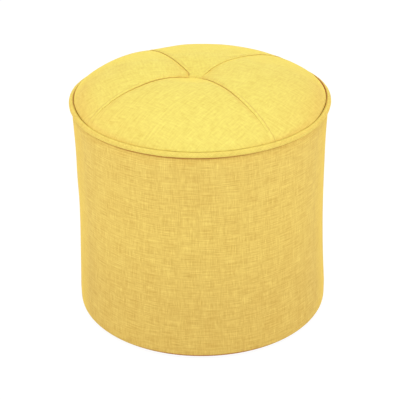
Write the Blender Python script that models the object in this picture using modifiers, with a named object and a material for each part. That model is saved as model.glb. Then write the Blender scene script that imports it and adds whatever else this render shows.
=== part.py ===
"""Round upholstered pouf with a tufted crown of four sewn panels.

The pouf is a drum: a base board and a seat board held apart by upright battens, with a bent
hardboard sheet round them. A thin foam wraps the drum and a domed foam pad lies on the seat
board under a layer of wadding. The fabric cover is a sleeve, a piped rim and four top panels,
which a twine draws down at one point. A cloth closes the underside, which stands on glides.

Metres, +Z up. The origin is on the floor, on the axis of the drum. The front looks along -Y.
"""

import math

import bmesh
import bpy
from mathutils import Matrix, Vector

# Clearances and facets
CLEARANCE = 0.0003
CUT_OVERRUN = 0.002
SEGMENTS = 48
SMALL_SEGMENTS = 16
HOLE_SEGMENTS = 8
FOLD_STEPS = 2
SMOOTH_ANGLE = math.radians(35)

# Glides
GLIDE_COUNT = 4
GLIDE_HEIGHT = 0.005
GLIDE_RADIUS = 0.011
GLIDE_CHAMFER = 0.0022
GLIDE_SHOULDER = 0.0009
GLIDE_CIRCLE_RADIUS = 0.150
GLIDE_TURN = math.radians(45)
NAIL_RADIUS = 0.0013
NAIL_BITE = 0.0095
NAIL_POINT = 0.003

# Cloth and fabric
BOTTOM_CLOTH_THICKNESS = 0.0006
BOTTOM_CLOTH_EDGE = 0.008
FABRIC_THICKNESS = 0.0012
HEM_DEPTH = 0.036
HEM_CORNER_RADIUS = 0.0050
SEAM_GAP = 0.0003
ALLOWANCE_EASE = 0.0009

# Drum
BOARD_RADIUS = 0.186
BASE_BOARD_THICKNESS = 0.012
SEAT_BOARD_THICKNESS = 0.012
BOARD_EDGE_BEVEL = 0.0008
DRUM_HEIGHT = 0.3283
WALL_THICKNESS = 0.003
WALL_JOINT_GAP = 0.001
BATTEN_COUNT = 6
BATTEN_WIDTH = 0.030
BATTEN_DEPTH = 0.018
BATTEN_BEVEL = 0.0015
VENT_COUNT = 4
VENT_RADIUS = 0.010
VENT_CIRCLE_RADIUS = 0.095

# Foam wrap round the drum, thinnest at the waist where the sleeve draws it in
WRAP_AT_FOOT = 0.0110
WRAP_AT_WAIST = 0.0053
WRAP_AT_SHOULDER = 0.0082
WRAP_AT_NECK = 0.0052
FOOT_HEIGHT = 0.0245
WAIST_HEIGHT = 0.2106
SHOULDER_DROP = 0.0175
SHOULDER_DROP_SHARES = ((0.36, 0.12), (0.76, 0.52))
WRAP_STEPS_BELOW_WAIST = 3
WRAP_STEPS_ABOVE_WAIST = 2

# Piped seam between the sleeve and the top panels
SEAM_ABOVE_BOARD = 0.017
PIPING_CORD_RADIUS = 0.0024
PIPING_CORD_EASE = 0.0006
PIPING_OVERHANG = 0.0034
PIPING_OUTER_STEPS = 8
PIPING_INNER_STEPS = 6
PIPING_CORD_SIDES = 6

# Crown: dome, tuft dimple, puff of each panel and groove along each seam
TUFT_X = -0.0072
TUFT_Y = 0.0053
CROWN_RISE = 0.0449
CROWN_POWER = 2.4
CROWN_ROUND_POWER = 0.68
DIMPLE_DEPTH = 0.0152
DIMPLE_SHARE = 0.213
DIMPLE_POWER = 1.5
PUFF_HEIGHTS = {"front": 0.0035, "right": 0.0026, "back": 0, "left": 0.0062}
PUFF_POWER = 0.8
GROOVE_DEPTH = 0.002
GROOVE_WIDTH = 0.0045
RIM_INSET = 0.0006
RIM_RISE = 0.005
FOLD_RADIUS = 0.0016
FOLD_DRAW = 0.0004
TUFT_HOLE_RADIUS = 0.0022
WADDING_THICKNESS = 0.006
WADDING_EASE = 0.0024
WADDING_DROP_EASE = 0.0006
SEAT_FOAM_OVERHANG = 0.0015

# The four top seams: where each meets the rim, and how far it has turned on its way there
SEAM_AZIMUTHS = {
    "front_left": math.radians(-146.9),
    "front_right": math.radians(-59.1),
    "back_right": math.radians(41.1),
    "back_left": math.radians(121.1),
}
SEAM_TURNS = {
    "front_left": math.radians(5.8),
    "front_right": math.radians(-3.7),
    "back_right": 0,
    "back_left": math.radians(-2.8),
}

# The sleeve's seam, the drum wall's joint and the first batten, where every ring starts
RING_AZIMUTH = math.radians(123.5)

# Each panel's seams, anticlockwise, and the shares at which its points lie
PANELS = {
    "front": ("front_left", "front_right"),
    "right": ("front_right", "back_right"),
    "back": ("back_right", "back_left"),
    "left": ("back_left", "front_left"),
}
ACROSS_SHARES = (0, 0.015, 0.04, 0.09, 0.18, 0.32, 0.5, 0.68, 0.82, 0.91, 0.96, 0.985, 1)
CROWN_SHARES = (0.04, 0.08, 0.14, 0.21, 0.30, 0.41, 0.53, 0.65, 0.76, 0.85, 0.92, 0.97, 1)
PAD_SHARES = (0.10, 0.24, 0.48, 0.74, 0.92, 1)

# Tufting twine and the toggle that it is tied to under the seat board
TWINE_RADIUS = 0.0011
TWINE_HEAD_RADIUS = 0.0042
TWINE_HEAD_THICKNESS = 0.0012
TWINE_KNOT_RADIUS = 0.0035
TOGGLE_RADIUS = 0.014
TOGGLE_THICKNESS = 0.005
TOGGLE_EDGE_RADIUS = 0.0015
TWINE_EASE = 0.0006

# Heights that follow from the sizes above
CLOTH_BOTTOM = GLIDE_HEIGHT + CLEARANCE
HEM_BOTTOM = CLOTH_BOTTOM + BOTTOM_CLOTH_THICKNESS + CLEARANCE
BOARD_BOTTOM = HEM_BOTTOM + FABRIC_THICKNESS + CLEARANCE
BASE_BOARD_TOP = BOARD_BOTTOM + BASE_BOARD_THICKNESS
DRUM_TOP = BOARD_BOTTOM + DRUM_HEIGHT
SEAT_BOARD_BOTTOM = DRUM_TOP - SEAT_BOARD_THICKNESS
SEAM_HEIGHT = DRUM_TOP + SEAM_ABOVE_BOARD
PLY_INNER = SEAM_GAP / 2
PLY_OUTER = PLY_INNER + FABRIC_THICKNESS
ALLOWANCE_FACE = PLY_OUTER + CLEARANCE
ALLOWANCE_BACK = ALLOWANCE_FACE + FABRIC_THICKNESS
RIM_HEIGHT = SEAM_HEIGHT + RIM_RISE
NECK_HEIGHT = SEAM_HEIGHT - RIM_RISE - CLEARANCE
SHOULDER_HEIGHT = NECK_HEIGHT - SHOULDER_DROP - HEM_BOTTOM

# Radii that follow from the sizes above
WALL_INNER = BOARD_RADIUS + CLEARANCE
WALL_OUTER = WALL_INNER + WALL_THICKNESS
WRAP_INNER = WALL_OUTER + CLEARANCE
SLEEVE_STAND_OFF = CLEARANCE + FABRIC_THICKNESS
NECK_RADIUS = WRAP_INNER + WRAP_AT_NECK + SLEEVE_STAND_OFF
PIPING_RADIUS = PIPING_CORD_RADIUS + PIPING_CORD_EASE + FABRIC_THICKNESS
PIPING_CENTRE = NECK_RADIUS + PIPING_OVERHANG
SEAT_FOAM_RADIUS = BOARD_RADIUS + SEAT_FOAM_OVERHANG
ALLOWANCE_INNER = SEAT_FOAM_RADIUS + ALLOWANCE_EASE
RIM_RADIUS = NECK_RADIUS - RIM_INSET
TUFT = Vector((TUFT_X, TUFT_Y))


def clear_scene():
    """Removes every object that the open scene holds."""
    for item in list(bpy.data.objects):
        bpy.data.objects.remove(item, do_unlink=True)


def collection(name):
    """A new collection in the scene."""
    made = bpy.data.collections.new(name)
    bpy.context.scene.collection.children.link(made)
    return made


clear_scene()
PARTS = collection("pouf")
CUTTERS = collection("cutters")


# Materials


def principled(name, colour, roughness, metallic=0.0):
    """A material with one Principled BSDF."""
    made = bpy.data.materials.new(name)
    made.use_nodes = True
    shader = made.node_tree.nodes["Principled BSDF"]
    shader.inputs["Base Color"].default_value = (*colour, 1)
    shader.inputs["Roughness"].default_value = roughness
    shader.inputs["Metallic"].default_value = metallic
    made.diffuse_color = (*colour, 1)
    return made


def top_fabric(side):
    """Yellow woven cover cloth of a top panel."""
    return principled(f"top_fabric_{side}", (0.91, 0.74, 0.16), 0.85)


def side_fabric():
    """The same cloth on the sleeve, which hangs in less light."""
    return principled("side_fabric", (0.80, 0.60, 0.13), 0.85)


def piping_fabric():
    """Bias strip of the same cloth."""
    return principled("piping_fabric", (0.86, 0.67, 0.14), 0.85)


def cotton_cord():
    """Undyed cotton filler cord."""
    return principled("cotton_cord", (0.83, 0.80, 0.72), 0.9)


def polyester_wadding():
    """White fibre wadding."""
    return principled("polyester_wadding", (0.90, 0.90, 0.88), 0.95)


def seat_foam_plastic():
    """Firm pale foam of the seat pad."""
    return principled("seat_foam_plastic", (0.86, 0.82, 0.62), 0.9)


def wrap_foam_plastic():
    """Thin soft foam of the wrap."""
    return principled("wrap_foam_plastic", (0.88, 0.87, 0.80), 0.9)


def hardboard():
    """Brown pressed board, smooth on one side."""
    return principled("hardboard", (0.35, 0.22, 0.12), 0.6)


def plywood(board):
    """Birch plywood of one board."""
    return principled(f"plywood_{board}", (0.72, 0.56, 0.36), 0.6)


def batten_wood(number):
    """Planed softwood of one batten."""
    return principled(f"batten_wood_{number}", (0.76, 0.60, 0.38), 0.65)


def bottom_cloth_felt():
    """Black spun-bonded cloth."""
    return principled("bottom_cloth_felt", (0.03, 0.03, 0.03), 0.95)


def glide_plastic(number):
    """Dark moulded plastic of one glide."""
    return principled(f"glide_plastic_{number}", (0.05, 0.05, 0.05), 0.45)


def twine_thread():
    """Waxed upholstery twine in the cloth's colour."""
    return principled("twine_thread", (0.74, 0.56, 0.14), 0.7)


def toggle_wood():
    """Turned beech toggle."""
    return principled("toggle_wood", (0.70, 0.50, 0.32), 0.55)


# Shape helpers


def finish(item, surface):
    """Gives a part its material and smooth shading, and files it with the parts."""
    for group in list(item.users_collection):
        group.objects.unlink(item)
    PARTS.objects.link(item)
    item.data.materials.clear()
    item.data.materials.append(surface)
    item.data.shade_smooth()
    item.data.set_sharp_from_angle(angle=SMOOTH_ANGLE)
    return item


def mesh_object(name, points, edges, faces):
    """An object from points, edges and faces."""
    mesh = bpy.data.meshes.new(name)
    mesh.from_pydata(points, edges, faces)
    mesh.update()
    return bpy.data.objects.new(name, mesh)


def add_screw(item, sweep, steps):
    """Turns a profile round the Z axis through an angle."""
    screw = item.modifiers.new("turn", "SCREW")
    screw.angle = sweep
    screw.steps = steps
    screw.render_steps = steps
    screw.use_merge_vertices = True
    screw.merge_threshold = CLEARANCE / 10
    screw.use_smooth_shade = True


def add_solidify(item, thickness):
    """Gives an open surface its thickness, on its inner side."""
    solid = item.modifiers.new("thickness", "SOLIDIFY")
    solid.thickness = thickness
    solid.offset = -1
    solid.use_even_offset = True


def add_bevel(item, width, segments=1):
    """Rounds the sharp edges."""
    bevel = item.modifiers.new("edges", "BEVEL")
    bevel.width = width
    bevel.segments = segments
    bevel.limit_method = "ANGLE"
    bevel.angle_limit = SMOOTH_ANGLE


def turned(name, profile, surface, closed=False, steps=SEGMENTS, place=(0, 0), joint_angle=0):
    """A turned solid or shell. The profile is (radius, height) pairs and runs down its outer side.

    A joint angle stops the turn short of the full round, where a rolled sheet's two ends meet.
    """
    points = [(radius, 0, height) for radius, height in profile]
    edges = [(index, index + 1) for index in range(len(points) - 1)]
    if closed:
        edges.append((len(points) - 1, 0))
    item = mesh_object(name, points, edges, [])
    add_screw(item, math.tau - joint_angle, steps)
    item.location = (*place, 0)
    item.rotation_euler.z = RING_AZIMUTH + joint_angle / 2
    return finish(item, surface)


def disc(name, radius, bottom, thickness, surface):
    """A flat round board or cloth."""
    bpy.ops.mesh.primitive_cylinder_add(
        vertices=SEGMENTS,
        radius=radius,
        depth=thickness,
        location=(0, 0, bottom + thickness / 2),
        rotation=(0, 0, RING_AZIMUTH),
    )
    item = bpy.context.object
    item.name = name
    return finish(item, surface)


def drill(item, name, radius, places, bottom, top):
    """Cuts round holes at places, all between two heights, with one cutter."""
    shape = bmesh.new()
    for x, y in places:
        middle = Matrix.Translation((x, y, (bottom + top) / 2))
        bmesh.ops.create_cone(
            shape,
            cap_ends=True,
            segments=HOLE_SEGMENTS,
            radius1=radius,
            radius2=radius,
            depth=top - bottom,
            matrix=middle,
        )
    mesh = bpy.data.meshes.new(name)
    shape.to_mesh(mesh)
    shape.free()
    cutter = bpy.data.objects.new(name, mesh)
    cutter.hide_render = True
    cutter.display_type = "WIRE"
    CUTTERS.objects.link(cutter)
    cut = item.modifiers.new(name, "BOOLEAN")
    cut.operation = "DIFFERENCE"
    cut.solver = "EXACT"
    cut.object = cutter


def circle_places(count, radius, start=0.0):
    """Places spread evenly on a circle."""
    places = []
    for index in range(count):
        angle = start + math.tau * index / count
        places.append((radius * math.cos(angle), radius * math.sin(angle)))
    return places


def sheet_of_rows(name, rows, surface):
    """An open sheet through rows of points of equal number."""
    across = len(rows[0])
    points = [point for row in rows for point in row]
    faces = []
    for row in range(len(rows) - 1):
        for column in range(across - 1):
            corner = row * across + column
            faces.append((corner, corner + across, corner + across + 1, corner + 1))
    return finish(mesh_object(name, points, [], faces), surface)


def solid_of_rings(name, rings, surface):
    """A closed solid through rings of points, whose last ring joins the first."""
    around = len(rings[0])
    points = [point for ring in rings for point in ring]
    faces = []
    for ring in range(len(rings)):
        following = (ring + 1) % len(rings)
        for column in range(around):
            beside = (column + 1) % around
            faces.append(
                (
                    ring * around + column,
                    following * around + column,
                    following * around + beside,
                    ring * around + beside,
                )
            )
    return finish(mesh_object(name, points, [], faces), surface)


# Sleeve line


def wrap_thickness(height):
    """Thickness of the foam wrap at a height above the hem: two parabolas that meet at the waist."""
    if height < WAIST_HEIGHT:
        swell = WRAP_AT_FOOT - WRAP_AT_WAIST
        reach = WAIST_HEIGHT - FOOT_HEIGHT
    else:
        swell = WRAP_AT_SHOULDER - WRAP_AT_WAIST
        reach = SHOULDER_HEIGHT - WAIST_HEIGHT
    return WRAP_AT_WAIST + swell * ((height - WAIST_HEIGHT) / reach) ** 2


def side_line(stand_off):
    """The side's outline from the neck down to the foot, as (radius, height), outside the wrap."""
    base = WRAP_INNER + stand_off
    shoulder = HEM_BOTTOM + SHOULDER_HEIGHT
    line = [(base + WRAP_AT_NECK, NECK_HEIGHT)]
    for rise_share, draw_share in reversed(SHOULDER_DROP_SHARES):
        thickness = WRAP_AT_SHOULDER + (WRAP_AT_NECK - WRAP_AT_SHOULDER) * draw_share
        line.append((base + thickness, shoulder + (NECK_HEIGHT - shoulder) * rise_share))
    for step in range(WRAP_STEPS_ABOVE_WAIST):
        height = SHOULDER_HEIGHT + (WAIST_HEIGHT - SHOULDER_HEIGHT) * step / WRAP_STEPS_ABOVE_WAIST
        line.append((base + wrap_thickness(height), HEM_BOTTOM + height))
    for step in range(WRAP_STEPS_BELOW_WAIST + 1):
        height = WAIST_HEIGHT + (FOOT_HEIGHT - WAIST_HEIGHT) * step / WRAP_STEPS_BELOW_WAIST
        line.append((base + wrap_thickness(height), HEM_BOTTOM + height))
    return line


# Crown


def seam_azimuth(name, share):
    """Azimuth of a seam at a share of the way from the tuft to the rim, which it nears in a curve."""
    return SEAM_AZIMUTHS[name] - SEAM_TURNS[name] * (1 - share**2)


def seam_span(side, share=1):
    """Start and sweep of a panel's azimuths, anticlockwise from its first seam to its second."""
    first, second = PANELS[side]
    start = seam_azimuth(first, share)
    return start, (seam_azimuth(second, share) - start) % math.tau


def dome_height(share, edge_height, rise):
    """Height of a dome with the tuft's dimple, at a share of the way from the tuft to the rim."""
    dome = (1 - share**CROWN_POWER) ** CROWN_ROUND_POWER
    dimple = math.exp(-((share / DIMPLE_SHARE) ** DIMPLE_POWER))
    return edge_height + rise * dome - DIMPLE_DEPTH * dimple


def panel_relief(side, share, across_share, sweep):
    """What a panel adds to the dome: its puff, less the groove along its nearer seam."""
    across = math.sin(math.pi * across_share) ** PUFF_POWER
    puff = PUFF_HEIGHTS[side] * 4 * share * (1 - share) * across
    from_seam = share * RIM_RADIUS * sweep * min(across_share, 1 - across_share)
    groove = GROOVE_DEPTH * math.exp(-((from_seam / GROOVE_WIDTH) ** 2))
    return puff - groove * (1 - share**CROWN_POWER)


def plan_point(share, azimuth, radius):
    """Plan place at a share of the straight way from the tuft to the rim."""
    rim = Vector((radius * math.cos(azimuth), radius * math.sin(azimuth)))
    return TUFT + (rim - TUFT) * share


def crown_row(side, share, inset, drop):
    """A row of points across a panel, drawn in from the rim by inset and lowered by drop."""
    start, sweep = seam_span(side, share)
    row = []
    for across_share in ACROSS_SHARES:
        radius = RIM_RADIUS - inset * share**CROWN_POWER
        plan = plan_point(share, start + sweep * across_share, radius)
        height = dome_height(share, RIM_HEIGHT, CROWN_RISE)
        height += panel_relief(side, share, across_share, sweep) - drop
        row.append(Vector((*plan, height)))
    return row


def rim_row(side, radius, height):
    """A row of points across a panel at one radius and height."""
    start, sweep = seam_span(side)
    azimuths = [start + sweep * across_share for across_share in ACROSS_SHARES]
    return [Vector((radius * math.cos(a), radius * math.sin(a), height)) for a in azimuths]


def hole_share():
    """Share of the way to the rim at which the tuft's hole ends."""
    return TUFT_HOLE_RADIUS / RIM_RADIUS


def ring_of(rows):
    """One ring from the rows of the four panels, without the points they share."""
    return [point for row in rows for point in row[:-1]]


def crown_ring(share, inset, drop):
    """A ring of the whole crown, drawn in by inset and lowered by drop."""
    return ring_of([crown_row(side, share, inset, drop) for side in PANELS])


def dome_ring(share, radius, edge_height, rise):
    """A ring of the plain dome, without the panels' relief."""
    rows = []
    for side in PANELS:
        start, sweep = seam_span(side, share)
        row = []
        for across_share in ACROSS_SHARES:
            plan = plan_point(share, start + sweep * across_share, radius)
            row.append(Vector((*plan, dome_height(share, edge_height, rise))))
        rows.append(row)
    return ring_of(rows)


def level_ring(share, radius, height):
    """A flat ring at one height."""
    rows = []
    for side in PANELS:
        start, sweep = seam_span(side, share)
        azimuths = [start + sweep * across_share for across_share in ACROSS_SHARES]
        rows.append([Vector((*plan_point(share, a, radius), height)) for a in azimuths])
    return ring_of(rows)


# Cover


def make_top_panel(side):
    """A domed quarter of the top. Its rim folds in over the piping's flange."""
    shares = (hole_share(), *CROWN_SHARES)
    rows = [crown_row(side, share, 0, 0) for share in shares]
    face = SEAM_HEIGHT + ALLOWANCE_FACE
    bend = RIM_RADIUS - FOLD_DRAW
    for step in range(FOLD_STEPS + 1):
        angle = math.pi / 2 * step / FOLD_STEPS
        radius = bend - FOLD_RADIUS * (1 - math.cos(angle))
        rows.append(rim_row(side, radius, face + FOLD_RADIUS * (1 - math.sin(angle))))
    rows.append(rim_row(side, ALLOWANCE_INNER, face))
    start, sweep = seam_span(side)
    middle = start + sweep / 2
    apart = SEAM_GAP / 2 / math.sin(sweep / 2)
    shift = Vector((math.cos(middle), math.sin(middle), 0)) * apart
    shifted = [[point + shift for point in row] for row in rows]
    panel = sheet_of_rows(f"top_panel_{side}", shifted, top_fabric(side))
    add_solidify(panel, FABRIC_THICKNESS)
    return panel


def make_side_panel():
    """The sleeve, with its top allowance folded in, its hem folded under and a seam at the back."""
    fold_top = SEAM_HEIGHT - ALLOWANCE_FACE
    bend = NECK_RADIUS - RIM_INSET - FOLD_DRAW
    profile = [(ALLOWANCE_INNER, fold_top)]
    for step in range(FOLD_STEPS + 1):
        angle = math.pi / 2 * (1 - step / FOLD_STEPS)
        radius = bend - FOLD_RADIUS * (1 - math.cos(angle))
        profile.append((radius, fold_top - FOLD_RADIUS * (1 - math.sin(angle))))
    profile += side_line(SLEEVE_STAND_OFF)
    foot_radius = WRAP_INNER + SLEEVE_STAND_OFF + WRAP_AT_FOOT
    for step in range(FOLD_STEPS + 1):
        angle = math.pi / 2 * step / FOLD_STEPS
        radius = foot_radius - HEM_CORNER_RADIUS * (1 - math.cos(angle))
        profile.append((radius, HEM_BOTTOM + HEM_CORNER_RADIUS * (1 - math.sin(angle))))
    profile.append((foot_radius - HEM_DEPTH, HEM_BOTTOM))
    sleeve = turned("side_panel", profile, side_fabric(), joint_angle=SEAM_GAP / NECK_RADIUS)
    add_solidify(sleeve, FABRIC_THICKNESS)
    return sleeve


def arc(radius, first, last, steps):
    """Points on an arc in the piping's section, about the cord's centre."""
    points = []
    for step in range(steps + 1):
        angle = first + (last - first) * step / steps
        points.append((PIPING_CENTRE + radius * math.cos(angle), SEAM_HEIGHT + radius * math.sin(angle)))
    return points


def make_piping_cover():
    """The bias strip: wrapped round the cord, with both its plies running in as a flange."""
    outer_end = math.pi - math.asin(PLY_OUTER / PIPING_RADIUS)
    inner_radius = PIPING_RADIUS - FABRIC_THICKNESS
    inner_end = math.pi - math.asin(PLY_INNER / inner_radius)
    profile = arc(PIPING_RADIUS, outer_end, -outer_end, PIPING_OUTER_STEPS)
    profile.append((ALLOWANCE_INNER, SEAM_HEIGHT - PLY_OUTER))
    profile.append((ALLOWANCE_INNER, SEAM_HEIGHT - PLY_INNER))
    profile += arc(inner_radius, -inner_end, inner_end, PIPING_INNER_STEPS)
    profile.append((ALLOWANCE_INNER, SEAM_HEIGHT + PLY_INNER))
    profile.append((ALLOWANCE_INNER, SEAM_HEIGHT + PLY_OUTER))
    return turned("piping_cover", profile, piping_fabric(), closed=True)


def make_piping_cord():
    """The round cord inside the piping."""
    bpy.ops.mesh.primitive_torus_add(
        major_segments=SEGMENTS,
        minor_segments=PIPING_CORD_SIDES,
        major_radius=PIPING_CENTRE,
        minor_radius=PIPING_CORD_RADIUS,
        location=(0, 0, SEAM_HEIGHT),
        rotation=(0, 0, RING_AZIMUTH),
    )
    bpy.context.object.name = "piping_cord"
    return finish(bpy.context.object, cotton_cord())


# Padding


def pad_edge_height():
    """Height at which the seat foam's side ends and its dome begins."""
    return SEAM_HEIGHT + ALLOWANCE_BACK


def pad_rise():
    """Rise of the seat foam's dome, which leaves the wadding its thickness over the tuft."""
    top = RIM_HEIGHT + CROWN_RISE - SLEEVE_STAND_OFF - WADDING_THICKNESS - CLEARANCE
    return top - pad_edge_height()


def make_seat_wadding():
    """The wadding between the seat foam and the top panels, grooved under their seams."""
    drop = FABRIC_THICKNESS + WADDING_DROP_EASE
    under = CLEARANCE
    rings = [crown_ring(share, WADDING_EASE, drop) for share in (hole_share(), *CROWN_SHARES)]
    radius = SEAT_FOAM_RADIUS + under
    edge = pad_edge_height() + under
    for share in reversed(PAD_SHARES):
        rings.append(dome_ring(share, radius, edge, pad_rise()))
    rings.append(dome_ring(hole_share(), radius, edge, pad_rise()))
    return solid_of_rings("seat_wadding", rings, polyester_wadding())


def make_seat_foam():
    """The domed foam pad, with a hole for the twine."""
    bottom = DRUM_TOP + CLEARANCE
    edge = pad_edge_height()
    rings = [level_ring(hole_share(), SEAT_FOAM_RADIUS, bottom)]
    for share in (hole_share(), *PAD_SHARES):
        rings.append(dome_ring(share, SEAT_FOAM_RADIUS, edge, pad_rise()))
    rings.append(level_ring(1, SEAT_FOAM_RADIUS, bottom))
    return solid_of_rings("seat_foam", rings, seat_foam_plastic())


def make_side_foam():
    """The foam wrap between the drum and the sleeve."""
    top = SEAM_HEIGHT - ALLOWANCE_BACK - CLEARANCE
    line = side_line(0)
    foot_radius = line[-1][0]
    profile = [(WRAP_INNER, top), (NECK_RADIUS - RIM_INSET - FOLD_RADIUS - SLEEVE_STAND_OFF, top)]
    profile += line
    corner = HEM_CORNER_RADIUS - SLEEVE_STAND_OFF
    profile.append((foot_radius, BOARD_BOTTOM + corner))
    profile.append((foot_radius - corner, BOARD_BOTTOM))
    profile.append((WRAP_INNER, BOARD_BOTTOM))
    return turned("side_foam", profile, wrap_foam_plastic(), closed=True)


# Drum


def make_drum_wall():
    """The hardboard sheet bent round the boards, its ends meeting at a batten."""
    profile = [
        (WALL_OUTER, DRUM_TOP),
        (WALL_OUTER, BOARD_BOTTOM),
    ]
    wall = turned("drum_wall", profile, hardboard(), joint_angle=WALL_JOINT_GAP / WALL_OUTER)
    add_solidify(wall, WALL_THICKNESS)
    return wall


def glide_places():
    """Places of the glides' nails."""
    return circle_places(GLIDE_COUNT, GLIDE_CIRCLE_RADIUS, GLIDE_TURN)


def make_base_board():
    """The plywood base, with a blind hole for each glide's nail."""
    board = disc("base_board", BOARD_RADIUS, BOARD_BOTTOM, BASE_BOARD_THICKNESS, plywood("base"))
    add_bevel(board, BOARD_EDGE_BEVEL)
    hole_top = GLIDE_HEIGHT + nail_length() + CLEARANCE
    bottom = BOARD_BOTTOM - CUT_OVERRUN
    drill(board, "nail_holes", NAIL_RADIUS + CLEARANCE, glide_places(), bottom, hole_top)
    return board


def make_seat_board():
    """The plywood seat board, with the twine's hole and vents that let the foam breathe."""
    board = disc("seat_board", BOARD_RADIUS, SEAT_BOARD_BOTTOM, SEAT_BOARD_THICKNESS, plywood("seat"))
    add_bevel(board, BOARD_EDGE_BEVEL)
    bottom = SEAT_BOARD_BOTTOM - CUT_OVERRUN
    top = DRUM_TOP + CUT_OVERRUN
    drill(board, "twine_hole", TWINE_RADIUS + TWINE_EASE, [(TUFT_X, TUFT_Y)], bottom, top)
    vents = circle_places(VENT_COUNT, VENT_CIRCLE_RADIUS)
    drill(board, "vents", VENT_RADIUS, vents, bottom, top)
    return board


def make_batten(number):
    """An upright between the boards, its outer face against the wall."""
    azimuth = RING_AZIMUTH + math.tau * number / BATTEN_COUNT
    bottom = BASE_BOARD_TOP + CLEARANCE
    height = SEAT_BOARD_BOTTOM - CLEARANCE - bottom
    reach = BOARD_RADIUS * math.cos(math.pi / SEGMENTS) - CLEARANCE
    face = math.sqrt(reach**2 - (BATTEN_WIDTH / 2) ** 2)
    place = Matrix.Translation((face - BATTEN_DEPTH / 2, 0, bottom + height / 2))
    size = Matrix.Diagonal((BATTEN_DEPTH, BATTEN_WIDTH, height, 1))
    shape = bmesh.new()
    bmesh.ops.create_cube(shape, size=1, matrix=place @ size)
    mesh = bpy.data.meshes.new(f"batten_{number + 1}")
    shape.to_mesh(mesh)
    shape.free()
    batten = bpy.data.objects.new(mesh.name, mesh)
    batten.rotation_euler.z = azimuth
    finish(batten, batten_wood(number + 1))
    add_bevel(batten, BATTEN_BEVEL)
    return batten


# Tuft


def tuft_height():
    """Height of the top panels' outer face at the edge of the tuft's hole."""
    share = hole_share()
    return dome_height(share, RIM_HEIGHT, CROWN_RISE)


def make_tuft_twine():
    """The twine: a flat stitched head in the dimple, the drawn length and the knot under the toggle."""
    head_bottom = tuft_height() + CLEARANCE
    head_top = head_bottom + TWINE_HEAD_THICKNESS
    edge = TWINE_HEAD_THICKNESS / 3
    knot_top = SEAT_BOARD_BOTTOM - CLEARANCE - TOGGLE_THICKNESS - CLEARANCE
    knot_middle = knot_top - TWINE_KNOT_RADIUS
    profile = [
        (0, head_top),
        (TWINE_HEAD_RADIUS - edge, head_top),
        (TWINE_HEAD_RADIUS, head_top - edge),
        (TWINE_HEAD_RADIUS - edge, head_bottom),
        (TWINE_RADIUS, head_bottom),
        (TWINE_RADIUS, knot_top),
    ]
    for step in range(1, 4):
        angle = math.pi / 2 - math.pi * step / 4
        profile.append(
            (
                TWINE_KNOT_RADIUS * math.cos(angle),
                knot_middle + TWINE_KNOT_RADIUS * math.sin(angle),
            )
        )
    profile.append((0, knot_middle - TWINE_KNOT_RADIUS))
    place = (TUFT_X, TUFT_Y)
    return turned("tuft_twine", profile, twine_thread(), steps=SMALL_SEGMENTS, place=place)


def make_tuft_toggle():
    """The turned toggle that spreads the twine's pull under the seat board."""
    top = SEAT_BOARD_BOTTOM - CLEARANCE
    bottom = top - TOGGLE_THICKNESS
    hole = TWINE_RADIUS + TWINE_EASE
    profile = [
        (hole, top),
        (TOGGLE_RADIUS - TOGGLE_EDGE_RADIUS, top),
        (TOGGLE_RADIUS, top - TOGGLE_EDGE_RADIUS),
        (TOGGLE_RADIUS, bottom + TOGGLE_EDGE_RADIUS),
        (TOGGLE_RADIUS - TOGGLE_EDGE_RADIUS, bottom),
        (hole, bottom),
    ]
    place = (TUFT_X, TUFT_Y)
    wood = toggle_wood()
    return turned("tuft_toggle", profile, wood, closed=True, steps=SMALL_SEGMENTS, place=place)


# Underside


def nail_length():
    """Length of a glide's nail above the glide, through the cloth and into the board."""
    return BOARD_BOTTOM - GLIDE_HEIGHT + NAIL_BITE


def make_bottom_cloth():
    """The black cloth over the base and the hem's inner edge, pierced by the nails."""
    foot_radius = WRAP_INNER + SLEEVE_STAND_OFF + WRAP_AT_FOOT
    radius = foot_radius - HEM_DEPTH + BOTTOM_CLOTH_EDGE
    cloth = disc("bottom_cloth", radius, CLOTH_BOTTOM, BOTTOM_CLOTH_THICKNESS, bottom_cloth_felt())
    bottom = CLOTH_BOTTOM - CUT_OVERRUN
    top = CLOTH_BOTTOM + BOTTOM_CLOTH_THICKNESS + CUT_OVERRUN
    drill(cloth, "cloth_holes", NAIL_RADIUS + CLEARANCE, glide_places(), bottom, top)
    return cloth


def make_glide(number):
    """A nail-on glide: a low round foot with its nail."""
    tip = GLIDE_HEIGHT + nail_length()
    profile = [
        (0, tip),
        (NAIL_RADIUS, tip - NAIL_POINT),
        (NAIL_RADIUS, GLIDE_HEIGHT),
        (GLIDE_RADIUS - GLIDE_SHOULDER, GLIDE_HEIGHT),
        (GLIDE_RADIUS, GLIDE_HEIGHT - GLIDE_SHOULDER),
        (GLIDE_RADIUS, GLIDE_CHAMFER),
        (GLIDE_RADIUS - GLIDE_CHAMFER, 0),
        (0, 0),
    ]
    place = glide_places()[number]
    plastic = glide_plastic(number + 1)
    return turned(f"glide_{number + 1}", profile, plastic, steps=SMALL_SEGMENTS, place=place)


def build():
    """Makes every piece, from the cover inwards and then the underside."""
    for side in PANELS:
        make_top_panel(side)
    make_side_panel()
    make_piping_cover()
    make_piping_cord()
    make_seat_wadding()
    make_seat_foam()
    make_side_foam()
    make_drum_wall()
    make_seat_board()
    make_base_board()
    for number in range(BATTEN_COUNT):
        make_batten(number)
    make_tuft_twine()
    make_tuft_toggle()
    make_bottom_cloth()
    for number in range(GLIDE_COUNT):
        make_glide(number)


build()
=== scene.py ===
"""Looks of a round upholstered pouf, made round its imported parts.

The cover is four top panels, a sleeve and a piping, each a fine cloth surface. Inside are the
wadding, the foams and the piping's cord. Stitches, the tuft's cross stitch, the underside's
cloth and its staples finish it. Metres, +Z up. Azimuths turn anticlockwise from +X.
"""

import math

import bpy
import numpy as np
from mathutils import Matrix, Vector


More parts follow.
